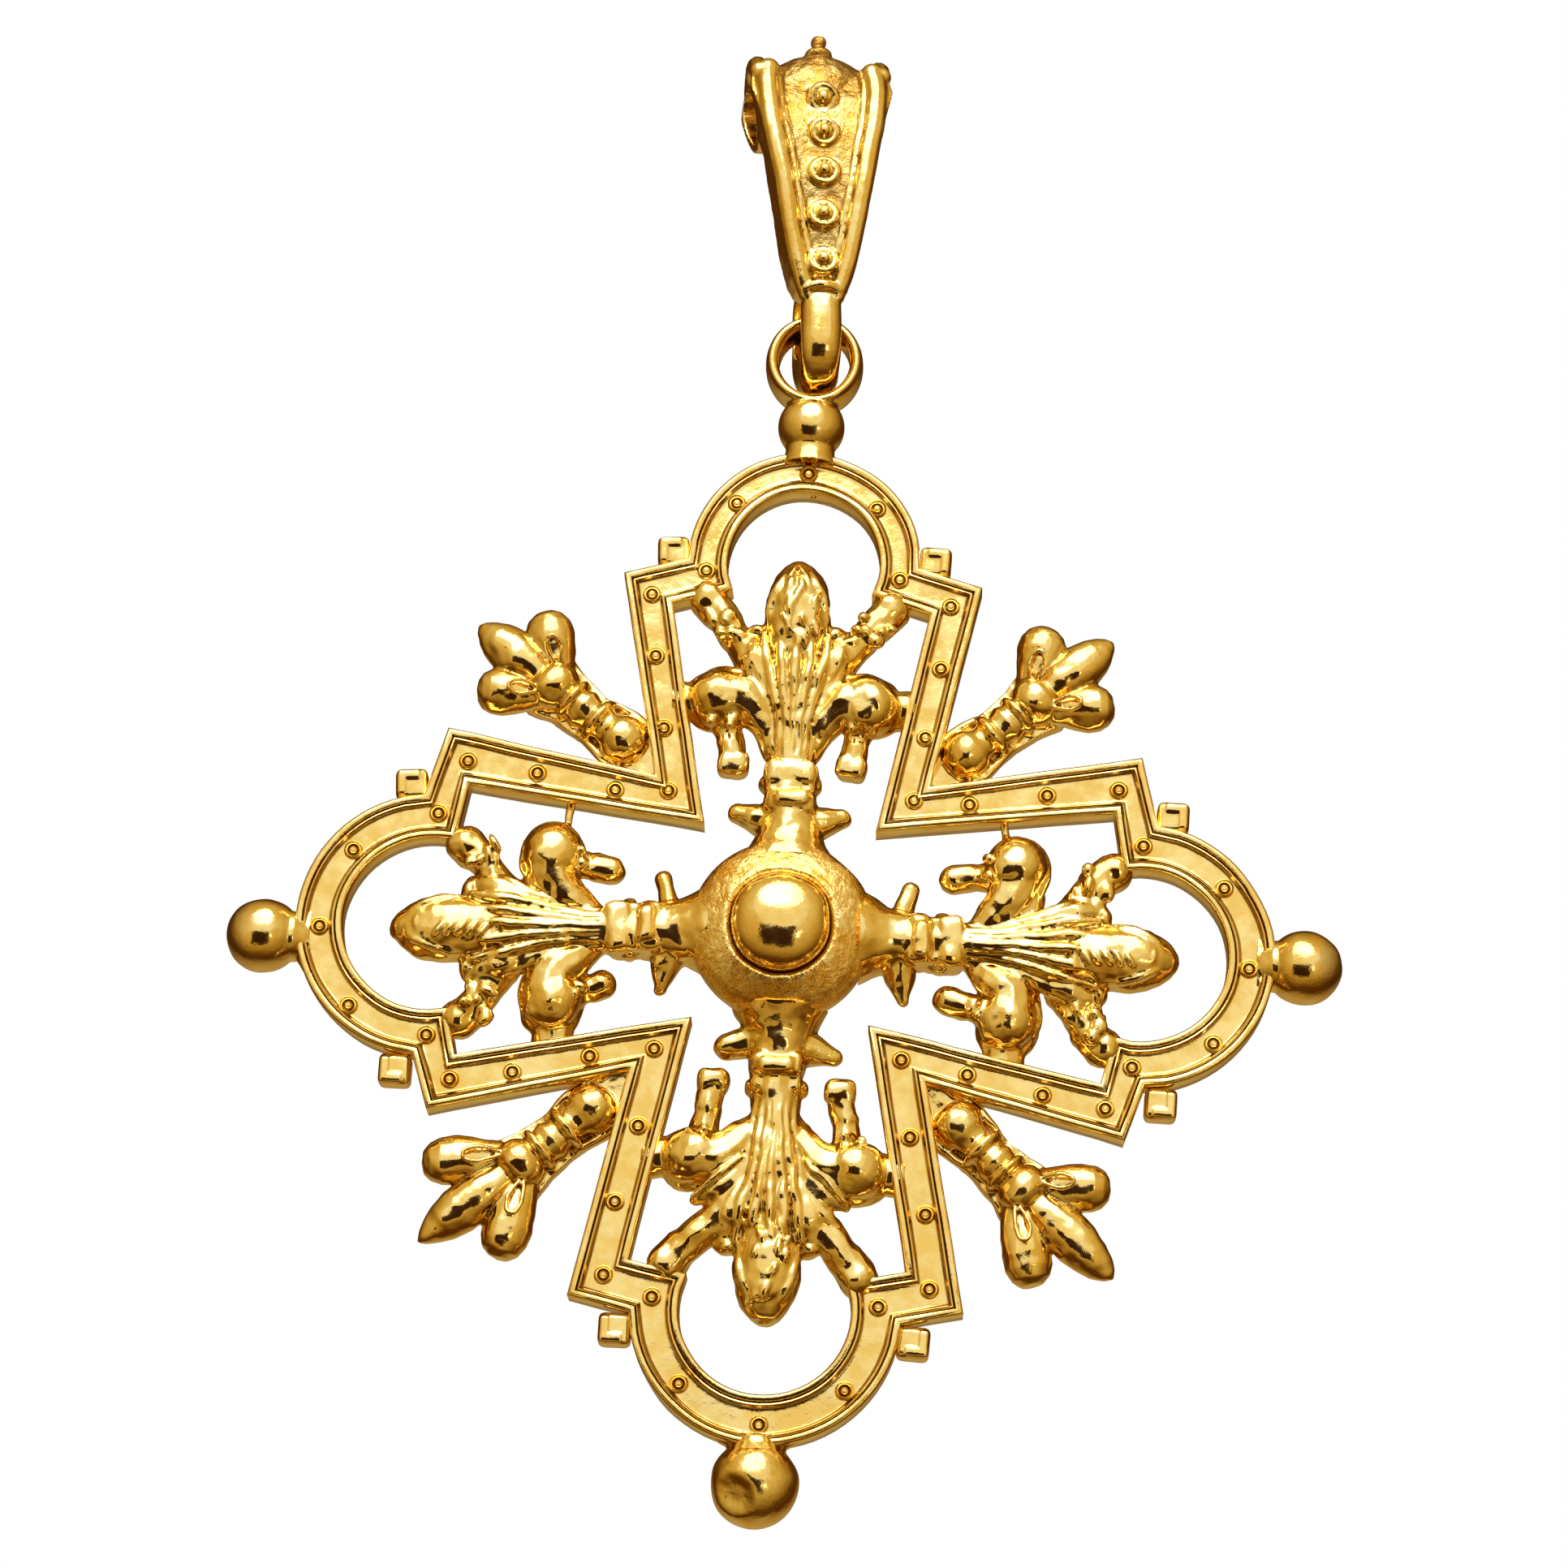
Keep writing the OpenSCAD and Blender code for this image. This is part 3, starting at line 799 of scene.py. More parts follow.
def leaf(way, row, chance, hanging=False):
    """One side of a fleur: sepal, arm and knot, curled leaf with its ball, bar and ear."""
    across, out, tip_across, tip_out, knot_across, knot_out, *ear, ball_radius = row
    ear_across, ear_out, ear_radius = ear
    smooth = row in (BOTTOM_LEFT, BOTTOM_RIGHT)
    slim_ear = row in (UPPER, RIGHT_UPPER)
    parts = []

    def run(points, radii, flat=1.0):
        parts.append(strand([(way * x, y, z) for x, y, z in points], radii, flat))

    def lump(centre, radii, turn=0.0, fine=16):
        parts.append(blob((way * centre[0], centre[1], centre[2]), radii, way * turn, fine))

    # Ear, thick at its root
    run([(0.9, ear_out - 0.7, -0.9), (2.3, ear_out - 0.35, -0.8), (ear_across, ear_out, -0.8)],
        [1.0 if slim_ear else 1.6, 0.75 if slim_ear else 1.1, ear_radius], 1.2)
    # Sepal with a scalloped tip
    run([(1.1, 14.6, -0.3), (1.9, 17.4, -0.1), (2.8, 19.6, -0.1), (3.1, 21.3, -0.5)],
        [0.5, 0.85, 1.0, 0.6], 1.15)
    run([(1.9, 16.2, 0.4), (3.0, 18.4, 0.5), (3.6, 20.3, 0.2)], [0.25, 0.32, 0.28])
    lump((3.5, 20.0, -0.4), (0.8, 1.05, 0.95))
    lump((2.7, 21.5, -0.5), (0.75, 0.6, 1.0))
    if smooth:
        run([(1.8, 15.8, 0.1), (3.4, 17.6, 0.1), (5.0, 18.5, -0.2)], [0.8, 0.95, 0.4])
        run([(2.2, 17.4, 0.0), (3.6, 19.4, 0.0), (4.5, 20.0, -0.3)], [0.8, 0.9, 0.5])
        run([(2.2, 15.7, 0.95), (3.8, 17.1, 0.95), (5.1, 18.3, 0.35)], [0.2, 0.25, 0.2])
    # Arm and lumpy knot that tie the bud to the arch
    middle_across, middle_out = (2.6 + knot_across) / 2, (19.4 + knot_out) / 2 - 0.2
    run([(2.5, 19.4, -0.9), (middle_across, middle_out, -0.8), (knot_across, knot_out + 0.2, -0.9)],
        [1.6, 1.3 if smooth else 1.1, 1.2], 1.1)
    run([(knot_across, knot_out, -1.0), (knot_across + 0.8, knot_out + 1.1, -1.1)], [1.25, 1.4], 1.1)
    for _ in range(0 if smooth else 10):
        share = chance.uniform(0.1, 1.15)
        lump((middle_across + share * (knot_across - middle_across) + chance.uniform(-1.0, 1.0),
              middle_out + share * (knot_out - middle_out) + chance.uniform(-1.0, 1.0),
              chance.uniform(-0.3, 0.35)),
             (chance.uniform(0.4, 0.85), chance.uniform(0.3, 0.6), chance.uniform(0.35, 0.6)),
             chance.uniform(-60, 60), 12)
    # Leaf that swells from the stem into the ball like a comma
    run([(1.2, 13.0, -0.6), (2.0, out - 1.4, -0.45), (across - 1.9, out - 0.05, -0.4),
         (across - 0.4, out + 0.15, -0.4)], [0.85, 1.35, 1.72, 1.9])
    run([(1.5, 15.2, -0.9), (2.5, out + 0.7, -0.9), (across - 0.6, out + 1.0, -0.9)], [1.1, 1.3, 1.2], 1.15)
    lump((across - 0.1, out + 0.05, -0.35), (ball_radius + 0.15, ball_radius + 0.05, ball_radius), 20, 24)
    # Shell behind the ball, with a ridge along its outer edge
    lump((across + 0.2, out + 0.15, -1.35), (2.35, 2.2, 1.25), 0, 24)
    run([(2.2, out + 0.9, -0.6), (across - 1.7, out + 1.75, -0.45), (across + 0.1, out + 2.05, -0.65),
         (across + 1.5, out + 1.5, -0.9)], [0.3, 0.4, 0.4, 0.25], 1.3)
    # Pitted throat between the ball and the bar
    for _ in range(6):
        lump((across - 0.3 + chance.uniform(-0.9, 0.7), out - ball_radius + chance.uniform(-0.1, 0.5),
              chance.uniform(0.1, 0.7)), (chance.uniform(0.2, 0.4),) * 3, 0, 12)
    # Bar below the ball, notched at its middle
    neck_across, neck_out = (across + tip_across) / 2 - 0.25, (out + tip_out) / 2 - 0.3
    run([(across - 0.5, out - 1.1, -0.9), (neck_across, neck_out + 0.15, -0.9)], [1.2, 0.92], 1.1)
    run([(neck_across - 0.05, neck_out - 0.4, -0.85), (tip_across, tip_out + 0.4, -0.85)], [0.98, 1.02], 1.1)
    if row not in (UPPER, LOWER, RIGHT_UPPER, RIGHT_LOWER):
        parts.append(chip((way * tip_across, tip_out + 0.2, -0.85), (1.08, 0.9, 1.12), 0.62,
                          way * chance.uniform(-12, 6)))
    if hanging:
        # Casting pin to the band
        run([(across + 1.2, out - 0.6, -1.6), (across + 4.2, out - 1.1, -1.7)], [0.22, 0.34])
    else:
        run([(across + 0.9, out - 0.1, -1.3), (across + 2.6, out + 0.1, -1.4)], [1.5, 1.45], 0.9)
    return parts


# How far a casting may stand out of its node's room, but not at its back, in mm
STRAY = 0.8


def trim_back(piece, node):
    """Cuts a casting flat at its back, and clears what strays far out of its node's room."""
    low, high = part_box(node)
    low = low - Vector((STRAY, STRAY, STRAY)) * MM
    high = high + Vector((STRAY, 0.0, STRAY)) * MM
    clear()
    bpy.ops.mesh.primitive_cube_add(size=1, location=(high + low) / 2, scale=high - low)
    return cut(piece, settle(bpy.context.object), "INTERSECT")


# Node, turn to the left, lift, left side, right side, sides on a pin, seed, side of the scales if any
FLEURS = (
    ("fleur_top", 0.6, 0.0, TOP_LEFT, TOP_RIGHT, (), 3, 0.0),
    ("fleur_right", -92.0, 0.28, RIGHT_UPPER, RIGHT_LOWER, (-1,), 5, 0.5),
    ("fleur_bottom", 180.0, 0.0, BOTTOM_RIGHT, BOTTOM_LEFT, (), 11, 0.0),
    ("fleur_left", 92.0, 0.28, LOWER, UPPER, (1,), 17, -0.5),
)


class PENDANT_OT_fleurs(bpy.types.Operator):
    """Cast the four fleurs with their buds, curled leaves and knots"""

    bl_idname = "pendant.fleurs"
    bl_label = "Fleurs"

    def execute(self, context):
        sizes = context.scene.casting_sizes
        for node, turn, lift, left, right, hanging, seed, shift in FLEURS:
            chance = random.Random(seed)
            parts = stem(shift, chance, node == "fleur_bottom")
            for way, side in ((-1, left), (1, right)):
                parts += leaf(way, side, chance, way in hanging)
            piece = gather(parts, node + "_cast")
            # Turned about the middle of the boss
            pivot = at(0, 0, 0)
            swing(piece, pivot, pivot + Vector((0, 0, lift * MM)), turn)
            cast(piece, sizes.skin / MM, sizes.softening)
            wander(piece, 1.5, 0.3 * MM, "XYZ")
            trim_back(piece, node)
            lighten(piece)
            shade(piece, 50)
            dress(piece, "cross", "gilt", ["polished_gilt"], node)
        return {"FINISHED"}


# Finials, drawn upright from the bead at the origin


def finial_parts(far, middle_reach, left_reach, right_reach, spread):
    """Bead, collar, second bead, web and three petals, of which the outer two carry a teardrop."""
    core = [(0, -1.7), (0.85, -1.5), (1.35, -1.05), (1.62, -0.45), (1.68, 0.1), (1.56, 0.6), (1.24, 1.1),
            (1.1, 1.5), (1.2, 1.75), (1.5, 1.9), (1.6, 2.1), (1.45, 2.4), (1.15, 2.6), (1.25, 3.0),
            (1.42, (2.4 + far - 1.7) / 2), (1.3, far - 2.3), (1.2, far - 2.1), (1.5, far - 1.9),
            (1.62, far - 1.7), (1.45, far - 1.45), (1.15, far - 1.3), (1.45, far - 1.05), (1.72, far - 0.6),
            (1.82, far - 0.05), (1.7, far + 0.5), (1.35, far + 0.95), (0.8, far + 1.25), (0, far + 1.35)]
    parts = [place(lathe(core, 40), 0, 0, 0, -0.8, 0.98)]
    web = [(-1.5, -3.3), (-2.1, 0.0), (-1.8, 1.7), (-1.75, 3.0), (-1.95, far - 1.2), (-2.4, far + 0.4),
           (-2.0, far + 1.6)]
    parts.append(plate(mirrored(web, -2.6), (0, -1.35 * MM, 0)))
    for way in (-1, 1):
        parts.append(strand([(way * 1.4, -2.6, -1.3), (way * 1.85, -0.4, -1.2), (way * 1.75, 1.3, -1.2),
                             (way * 1.5, 2.6, -1.3)], [0.3, 0.3, 0.3, 0.22], 1.2))
    reach = middle_reach - far
    almond = [(0, -0.6), (0.7, -0.3), (1.15, 0.14 * reach), (1.45, 0.3 * reach), (1.62, 0.47 * reach),
              (1.62, 0.6 * reach), (1.36, 0.75 * reach), (0.98, 0.86 * reach), (0.5, 0.95 * reach),
              (0, reach)]
    parts.append(place(lathe(almond, 32), 0, 0, far, -0.85, 0.95))
    # The teardrop's line: share of the lobe's length, step aside and height
    drop = ((0.06, 0.0, 0.05), (0.24, 0.36, 0.35), (0.4, 0.48, 0.5), (0.52, 0.0, 0.62), (0.4, -0.48, 0.5),
            (0.24, -0.36, 0.35), (0.06, 0.0, 0.05))
    for way, side_reach in ((-1, left_reach), (1, right_reach)):
        span = math.hypot(spread - 0.8, side_reach - far)
        slope = math.atan2(spread - 0.8, side_reach - far)
        lobe = [(0, -0.5), (0.8, -0.2), (1.15, 0.18 * span), (1.5, 0.42 * span), (1.68, 0.62 * span),
                (1.6, 0.78 * span), (1.28, 0.9 * span), (0.75, 0.975 * span), (0, span)]
        parts.append(place(lathe(lobe, 32), -way * math.degrees(slope), way * 0.8, far, -1.0, 0.92))
        # Web between the lobe and the middle petal
        halfway = (way * (0.3 + 0.3 * spread), far + 0.5 * span, -1.6)
        parts.append(strand([(way * 0.6, far + 0.8, -1.5), halfway], [1.2, 1.15]))
        # Raised teardrop on the lobe
        outward = Vector((way * math.sin(slope), math.cos(slope)))
        aside = Vector((way * math.cos(slope), -math.sin(slope)))
        root = Vector((way * 0.8, far))
        places = [root + outward * (share * span) + aside * step for share, step, _ in drop]
        parts.append(strand([(p.x, p.y, row[2]) for p, row in zip(places, drop)], [0.16] * 7, 1.5, False))
    return parts


# Node, turn in degrees to the left from upright, bead across and up, bead spacing, reach of the middle petal
# and of the left and right petals, spread of these
FINIALS = (
    ("finial_upper_right", -49.0, 11.85, 13.55, 6.1, 13.0, 10.1, 10.1, 3.65),
    ("finial_upper_left", 53.5, -11.85, 13.55, 6.1, 13.0, 10.1, 10.1, 3.65),
    ("finial_lower_right", -133.0, 12.4, -12.5, 6.1, 14.6, 10.2, 11.2, 4.2),
    ("finial_lower_left", 131.0, -12.4, -12.5, 6.1, 14.6, 11.2, 11.2, 4.2),
)


class PENDANT_OT_finials(bpy.types.Operator):
    """Cast the four finials with their beads, collars and petals"""

    bl_idname = "pendant.finials"
    bl_label = "Finials"

    def execute(self, context):
        sizes = context.scene.casting_sizes
        for node, turn, across, up, *lengths in FINIALS:
            piece = gather(finial_parts(*lengths), node + "_cast")
            swing(piece, at(0, 0, 0), at(across, up, 0), turn)
            cast(piece, sizes.fine_skin / MM, 3)
            wander(piece, 1.6, 0.22 * MM, "XYZ")
            trim_back(piece, node)
            lighten(piece)
            shade(piece, 50)
            dress(piece, "cross", "gilt", ["polished_gilt"], node)
        return {"FINISHED"}


# End balls, turned upright from the origin at their middle

# Depth of the balls' middles, in mm
BALL_DEPTH = -1.3
# Node, turn, across, up, radius, flare of the foot
BALLS = (
    ("ball_right", -90.0, 35.3, -0.35, 2.55, 2.6),
    ("ball_left", 90.0, -35.5, -1.4, 2.55, 2.6),
    ("ball_bottom", 180.0, -0.1, -37.1, 2.95, 3.2),
)


def dome(radius, start, count, height=0.0):
    """The profile of a ball, from an angle up to just below its top."""
    return [(radius * math.cos(angle), height + radius * math.sin(angle))
            for angle in (start + (math.pi / 2 - start) * step / count for step in range(count))]


def ball(radius, flare, turn, across, up):
    """A ball on a neck whose foot flares along the band's edge, drawn upright with the neck below."""
    waist = 0.68 * radius
    profile = [(0, -3.1), (waist * 0.72, -3.1), (waist * 0.86, -2.6), (waist, -2.2)]
    profile += dome(radius, -math.acos(waist / radius), 22)
    round_part = place(lathe(profile + [(0, radius)], 48), turn, across, up, BALL_DEPTH)
    foot = [(0, -3.3), (flare, -3.3), (flare * 0.94, -2.9), (flare * 0.78, -2.6), (waist * 0.95, -2.3),
            (0, -1.9)]
    return gather([round_part, place(lathe(foot, 48), turn, across, up, BALL_DEPTH, 1.15 / flare)], "ball")


class PENDANT_OT_balls(bpy.types.Operator):
    """Turn the three end balls and dent the lowest"""

    bl_idname = "pendant.balls"
    bl_label = "End balls"

    def execute(self, context):
        for node, turn, across, up, radius, flare in BALLS:
            piece = cast(ball(radius, flare, turn, across, up), 0.1, 3)
            piece.name = piece.data.name = node + "_turned"
            if node == "ball_bottom":
                self.dent(piece, at(across - 1.3, up - 1.1, 1.0))
            wander(piece, 2.5, 0.22 * MM)
            lighten(piece)
            shade(piece, 60)
            dress(piece, "cross", "worn_gilt", ["rubbed_gilt"], node)
        return {"FINISHED"}

    def dent(self, piece, middle):
        """Pushes in a shallow dent, 3 mm wide."""
        pick(piece)
        edit()
        choose_faces(piece, lambda centre, normal: (centre - middle).length < 0.35 * MM)
        bpy.ops.transform.translate(
            value=(0.25 * MM, 0.45 * MM, 0.2 * MM), use_proportional_edit=True,
            proportional_edit_falloff="SMOOTH", proportional_size=1.5 * MM)
        leave_edit()


# The hanging ring

# Radius of the ball under the ring, of its neck, and height of its middle
RING_BALL = 2.33
RING_NECK = 1.72
RING_BALL_HEIGHT = 36.8
# Height of the ring's middle
RING_HEIGHT = 41.35
# The ring's section: radius and depth
RING_SECTION = ((2.5, -1.2), (2.62, -1.55), (2.9, -1.77), (3.12, -1.7), (3.3, -1.35), (3.4, -0.7), (3.42, 0),
                (3.4, 0.7), (3.3, 1.35), (3.12, 1.7), (2.9, 1.77), (2.62, 1.55), (2.5, 1.2), (2.46, 0),
                (2.5, -1.2))


class PENDANT_OT_hanger(bpy.types.Operator):
    """Cast the ball and the ring on top of the cross"""

    bl_idname = "pendant.hanger"
    bl_label = "Hanger"

    def execute(self, context):
        neck = [(0, 33.9), (2.0, 33.9), (1.85, 34.35), (RING_NECK, 34.8)]
        start = math.atan2(-math.sqrt(RING_BALL ** 2 - RING_NECK ** 2), RING_NECK)
        neck += dome(RING_BALL, start, 18, RING_BALL_HEIGHT) + [(0, RING_BALL_HEIGHT + RING_BALL)]
        parts = [place(lathe(neck, 48), 0, 0, 0, -MIDDLE)]
        parts.append(face_front(lathe(RING_SECTION, 72), at(0, RING_HEIGHT, -MIDDLE)))
        piece = lighten(cast(gather(parts, "hanger_cast"), 0.1, 2))
        dress(piece, "cross", "gilt", ["polished_gilt"], "hanger")
        return {"FINISHED"}


# The bail

# Half width and height of the bail from the front
BAIL_OUTLINE = ((1.2, 45.9), (1.7, 46.2), (2.15, 46.9), (2.7, 49.1), (3.45, 53.4), (3.95, 56.4), (4.5, 58.8),
                (5.05, 61.0), (4.9, 62.4), (4.4, 63.4), (3.4, 64.1), (1.8, 64.6), (0, 64.7))
# Depth and height of the rails' front and of the strap's back
BAIL_FRONT = ((2.2, 44.9), (2.75, 46), (2.85, 47), (3.4, 50.5), (3.75, 54), (3.65, 57.5), (3.15, 60.3),
              (2.2, 62.4))
BAIL_BACK = ((0, 60), (0.4, 56), (0, 52), (-0.6, 48), (-1, 44.9))
# Degrees that the bail leans to the left and turns to its left side
BAIL_LEAN = 3.0
BAIL_TURN = 8.0
# Radius of the channel for the chain, of the curl around it, and their height
CHANNEL = 2.45
CURL = 3.1
CHANNEL_HEIGHT = 60.6
# Height of the middle of the ring's top wall, about which the cross swings and the bail leans
BEARING = 44.285
# Heights of the panel's studs, the room that each takes, and height of the panel's foot
PANEL_STUDS = (47.95, 51.25, 54.35, 57.4, 60.25)
STUD_ROOM = 1.1
PANEL_FOOT = 46.8
# Radius and height of the stud on the top edge, above its middle
TOP_STUD = ((0, -0.9), (1.25, -0.9), (1.32, -0.1), (1.15, 0.3), (0.72, 0.5), (0.9, 0.7), (1.0, 0.95),
            (0.85, 1.2), (0.5, 1.36), (0.42, 1.5), (0.55, 1.7), (0.55, 2.0), (0.4, 2.25), (0, 2.35))
# Half width and height of the rails' outer edges
RAIL_EDGE = ((1.75, 45.6), (2.15, 46.9), (2.7, 49.1), (3.45, 53.4), (3.95, 56.4), (4.4, 58.8), (4.55, 61.2),
             (4.45, 62.6))


def tube(radius, length):
    """A bar across the bail, on the channel's axis."""
    clear()
    bpy.ops.mesh.primitive_cylinder_add(
        vertices=64, radius=radius * MM, depth=length * MM, location=at(0, CHANNEL_HEIGHT, -MIDDLE),
        rotation=(0, math.radians(90), 0))
    return settle(bpy.context.object)


def bore(piece):
    """Cuts the channel from side to side."""
    return cut(piece, tube(CHANNEL, 14))


def turn_round(radius, angle, height):
    """Height and depth of a place round an axis across the bail, at an angle up from its front."""
    return height + radius * math.sin(angle), -MIDDLE + radius * math.cos(angle)


def stadium(radius, low, high, width):
    """A bar across the bail with a long round end above and below."""
    places = []
    for start, height in ((0.0, high), (math.pi, low)):
        for step in range(25):
            places.append(at(-width / 2, *turn_round(radius, start + math.pi * step / 24, height)))
    return plate(places, (width * MM, 0, 0))


def panel_stud():
    return lathe([(0, 0.98), (0.22, 0.95), (0.4, 0.82), (0.52, 0.6), (0.56, 0.42), (0.66, 0.34), (0.76, 0.44),
                  (0.86, 0.5), (0.98, 0.44), (1.08, 0.25), (1.14, -0.3), (0, -0.3)], 28)


class PENDANT_OT_bail(bpy.types.Operator):
    """Cast the strap bail with its rails, panel studs, top stud and loop"""

    bl_idname = "pendant.bail"
    bl_label = "Bail"

    def on_panel(self, centre):
        """Whether a place lies between the rails and off the studs."""
        up = centre.z / MM + HANG
        aside = abs(centre.x) / MM
        near = min(abs(up - rise) for rise in PANEL_STUDS) < STUD_ROOM and abs(centre.x) < STUD_ROOM * MM
        return up >= PANEL_FOOT and not near and aside < 0.5 + (up - PANEL_FOOT) * 0.165

    def strap(self):
        """The strap with its curl, cut to the outline from the front and bored for the chain."""
        side = [at(-6, height, depth - 0.5) for depth, height in BAIL_FRONT]
        side += [at(-6, height, depth) for depth, height in BAIL_BACK]
        parts = [plate(side, (12 * MM, 0, 0)), tube(CURL, 12), blob((0, 61.3, -0.7), (4.2, 3.3, 3.2))]
        body = cast(gather(parts, "bail_body"), 0.12, 0)
        # The last corner lies on the middle, so it isn't repeated
        face = [at(x, y, 12) for x, y in BAIL_OUTLINE]
        face += [at(-x, y, 12) for x, y in reversed(BAIL_OUTLINE[:-1])]
        cut(body, plate(face, (0, 24 * MM, 0)), "INTERSECT")
        return bore(body)

    def execute(self, context):
        parts = [self.strap()]
        for way in (-1, 1):
            rail = [(way * (x - 0.72), y, along(BAIL_FRONT, y) - 0.62) for x, y in RAIL_EDGE]
            parts.append(strand(rail, [0.6, 0.68, 0.72, 0.76, 0.8, 0.82, 0.84, 0.85]))
            line = [(way * (x - 1.62), y + 0.1, along(BAIL_FRONT, y) - 0.48) for x, y in RAIL_EDGE[1:]]
            parts.append(strand(line, [0.19] * 7))
            # The rail's shoulder, round over the channel
            over = [(way * 4.35, *turn_round(3.35, math.radians(42 + step * 18), 60.2)) for step in range(6)]
            parts.append(strand(over, [0.75, 0.78, 0.75, 0.7, 0.65, 0.6]))
        parts.append(strand([(-1.2, 46.0, 2.35), (0, 46.2, 2.7), (1.2, 46.0, 2.35)], [0.35, 0.4, 0.35]))
        model = panel_stud()
        for rise in PANEL_STUDS:
            slope = math.atan2(along(BAIL_FRONT, rise + 1) - along(BAIL_FRONT, rise - 1), 2)
            parts.append(face_front(twin(model), at(0, rise, along(BAIL_FRONT, rise) - 0.52), slope))
        bpy.data.objects.remove(model)
        top = lathe(TOP_STUD, 28)
        top.location = at(0, 63.45, 0.5)
        parts.append(settle(top))
        loop = stadium(3.55, 42.8, 44.68, 2.85)
        finish_with(loop, "BEVEL", width=1.15 * MM, segments=6, limit_method="ANGLE",
                    angle_limit=math.radians(60))
        cut(loop, stadium(2.3, BEARING, 44.585, 5))
        parts.append(loop)
        piece = cast(gather(parts, "bail_cast"), context.scene.casting_sizes.skin / MM, 2)
        wander(piece, 2.2, 0.14 * MM)
        bore(piece)
        lighten(piece)
        # The panel between the rails gets the hammered finish, which carries painted shade
        panel = faces_where(piece, lambda centre, normal: normal.y < -0.5 and self.on_panel(centre))
        shade(piece, 50)
        dress(piece, "bail", "gilt", ["polished_gilt", "hammered_gilt_painted_shade"], "bail")
        give_second(piece, panel)
        # It hangs a little askew in the ring
        pivot = at(0, BEARING, -MIDDLE)
        swing(piece, pivot, pivot, BAIL_LEAN, BAIL_TURN)
        return {"FINISHED"}


# The studio

# The camera: place in metres, turns in degrees, focal length in mm
CAMERA_PLACE = (0.009964, -0.334854, -0.147093)
CAMERA_TURNS = (105.878511, -2.921662, 0.975296)
CAMERA_LENS = 116.704
# Name, degrees to the right of the front and above it, distance and width in metres
SOFTBOXES = (("key", -4, 50, 0.6, 0.6), ("spark", 28, -13, 0.4, 0.05))
# Colours of the room as the metal mirrors it, from behind and below to the front and above
ROOM = ((0.0, (0.5, 0.37, 0.16)), (0.12, (0.28, 0.17, 0.055)), (0.2, (0.075, 0.028, 0.003)),
        (0.36, (0.115, 0.044, 0.005)), (0.58, (0.42, 0.27, 0.065)), (0.8, (0.72, 0.54, 0.21)),
        (0.87, (0.74, 0.59, 0.3)), (0.92, (0.95, 0.9, 0.79)), (1.0, (1.0, 0.97, 0.9)))
# The direction in which the room is brightest
ROOM_TOP = (0.0, -0.857, 0.515)
# Colour of the dark card
UMBER = (0.032, 0.009, 0.0015)
# Width and height of the backdrop, and its middle, in metres
BACKDROP_SIZE = (3, 2)
BACKDROP_MIDDLE = (0, 0.9, 0.6)


def studio_sheet(name, material, size, middle, tip):
    """A flat sheet of the studio, lying level and then tipped by degrees."""
    clear()
    bpy.ops.mesh.primitive_plane_add(size=1, location=middle, rotation=(math.radians(tip), 0, 0))
    sheet = bpy.context.object
    sheet.scale = (*size, 1)
    settle(sheet)
    sheet.name = sheet.data.name = name
    sheet.data.materials.append(material)
    return sheet


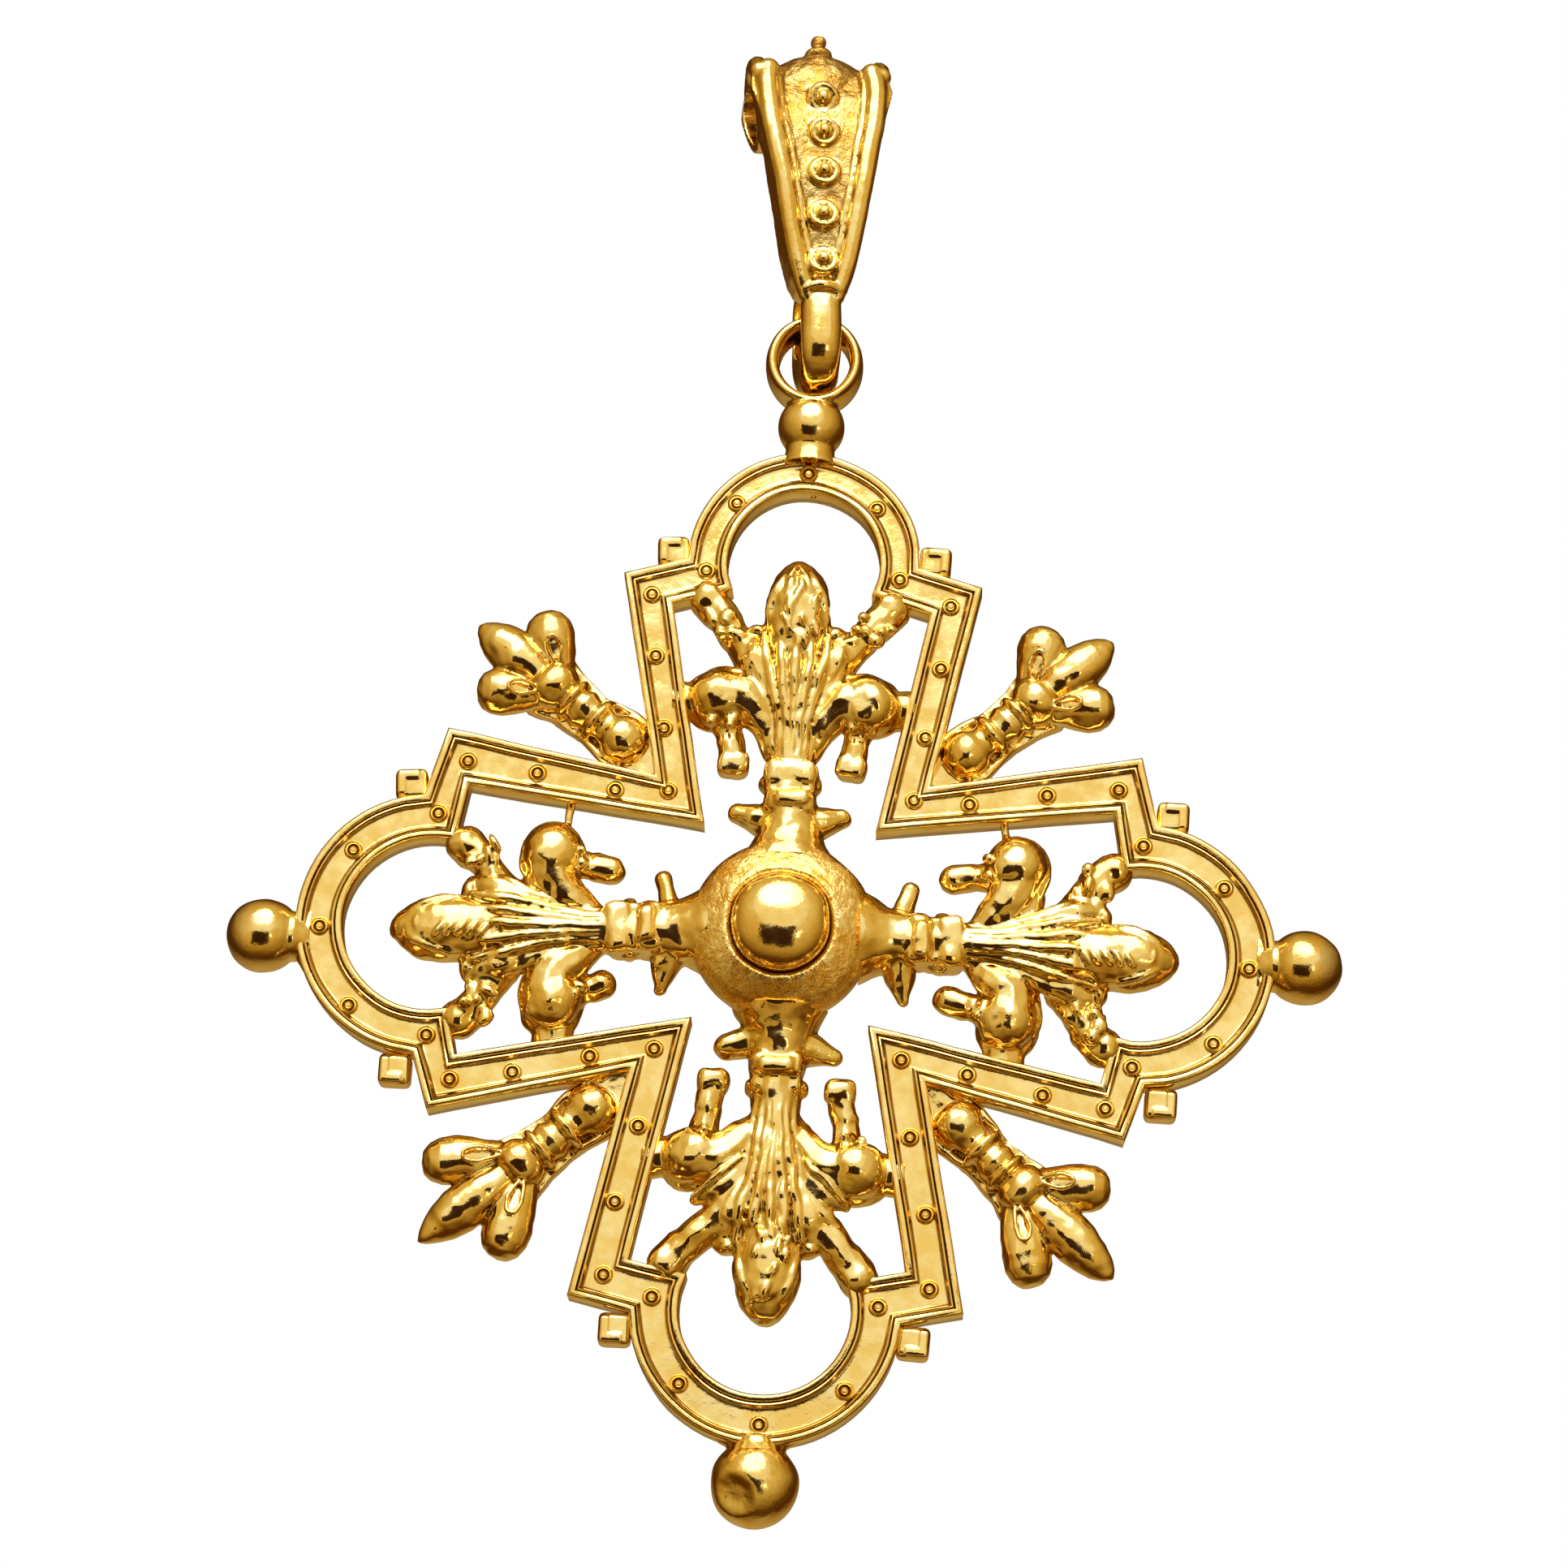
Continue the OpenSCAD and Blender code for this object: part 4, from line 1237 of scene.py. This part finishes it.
class PENDANT_OT_studio(bpy.types.Operator):
    """Set the pale floor and backdrop, the soft lights and the camera"""

    bl_idname = "pendant.studio"
    bl_label = "Studio"

    def execute(self, context):
        studio = context.scene.studio
        paper = matt("studio_paper", studio.pale, 40.0, 3.0, 0.85, 0.95)
        floor = studio_sheet("floor", paper, (6, 6), (0, 0, studio.floor), 0)
        glow = Recipe(bpy.data.materials.new("backdrop_glow"))
        light = glow.add("ShaderNodeEmission", {}, {"Color": (1, 1, 1, 1), "Strength": 1.0})["Emission"]
        backdrop = studio_sheet("backdrop", glow.end(light), BACKDROP_SIZE, BACKDROP_MIDDLE, 90)
        backdrop.visible_glossy = False
        floor.visible_glossy = False
        self.dark_card()
        self.light_studio(context, studio)
        clear()
        bpy.ops.object.camera_add(
            location=CAMERA_PLACE, rotation=[math.radians(turn) for turn in CAMERA_TURNS])
        camera = bpy.context.object
        camera.data.lens = CAMERA_LENS
        camera.data.sensor_width = 36
        camera.data.sensor_fit = "HORIZONTAL"
        camera.data.clip_start = 0.01
        context.scene.camera = camera
        context.scene.view_settings.view_transform = "Standard"
        return {"FINISHED"}

    def dark_card(self):
        """A dark card low in front, out of the camera's sight, for the polished domes to mirror."""
        umber = matt("dark_card", UMBER, 60.0, 2.0, 0.7, 0.9)
        card = studio_sheet("dark_card", umber, (0.3, 0.2), (-0.039, -0.279, -0.165), -70)
        card.visible_camera = card.visible_shadow = card.visible_diffuse = False

    def light_studio(self, context, studio):
        """Two round lights toward the boss, and a room of warm colours for the metal to mirror."""
        for (name, azimuth, elevation, distance, width), power in zip(
                SOFTBOXES, (studio.key_power, studio.spark_power)):
            side, rise = math.radians(azimuth), math.radians(elevation)
            away = Vector((math.sin(side) * math.cos(rise), -math.cos(side) * math.cos(rise), math.sin(rise)))
            clear()
            bpy.ops.object.light_add(type="AREA", location=at(0, 0, 0) + away * distance)
            lamp = bpy.context.object
            lamp.name = name
            lamp.rotation_euler = away.to_track_quat("Z", "Y").to_euler()
            lamp.data.shape = "DISK"
            lamp.data.size = width
            lamp.data.energy = power
        room = Recipe(bpy.data.worlds.new("soft_room"))
        context.scene.world = room.owner
        where = room.add("ShaderNodeTexCoord")["Generated"]
        dot = {"operation": "DOT_PRODUCT"}
        rise = room.add("ShaderNodeVectorMath", dot, {0: where, 1: ROOM_TOP})["Value"]
        stops = [(position, colour + (1,)) for position, colour in ROOM]
        colour = room.add("ShaderNodeValToRGB", {"stops": stops}, {"Fac": rise * 0.5 + 0.5})["Color"]
        sky = room.add("ShaderNodeBackground", {}, {"Color": colour})["Background"]
        room.end(sky, "ShaderNodeOutputWorld")


class PENDANT_PT_panel(bpy.types.Panel):
    """The pendant's pieces, in the order in which they are made"""

    bl_idname = "PENDANT_PT_panel"
    bl_label = "Gilt cross pendant"
    bl_space_type = "VIEW_3D"
    bl_region_type = "UI"
    bl_category = "Pendant"

    def draw(self, context):
        for piece in PIECES:
            self.layout.operator(piece.bl_idname)


PIECES = (PENDANT_OT_studio, PENDANT_OT_band, PENDANT_OT_boss, PENDANT_OT_fleurs, PENDANT_OT_finials,
          PENDANT_OT_balls, PENDANT_OT_hanger, PENDANT_OT_bail)
SETTINGS = {"casting_sizes": CastingSizes, "gilding": Gilding, "studio": Studio}


def register():
    for kind in (*SETTINGS.values(), *PIECES, PENDANT_PT_panel):
        bpy.utils.register_class(kind)
    for name, kind in SETTINGS.items():
        setattr(bpy.types.Scene, name, PointerProperty(type=kind))


def unregister():
    for name in SETTINGS:
        delattr(bpy.types.Scene, name)
    for kind in (PENDANT_PT_panel, *reversed(PIECES), *reversed(SETTINGS.values())):
        bpy.utils.unregister_class(kind)


def main():
    register()
    bpy.ops.pendant.studio()
    bpy.ops.pendant.band()
    bpy.ops.pendant.boss()
    bpy.ops.pendant.fleurs()
    bpy.ops.pendant.finials()
    bpy.ops.pendant.balls()
    bpy.ops.pendant.hanger()
    bpy.ops.pendant.bail()


if __name__ == "__main__":
    main()
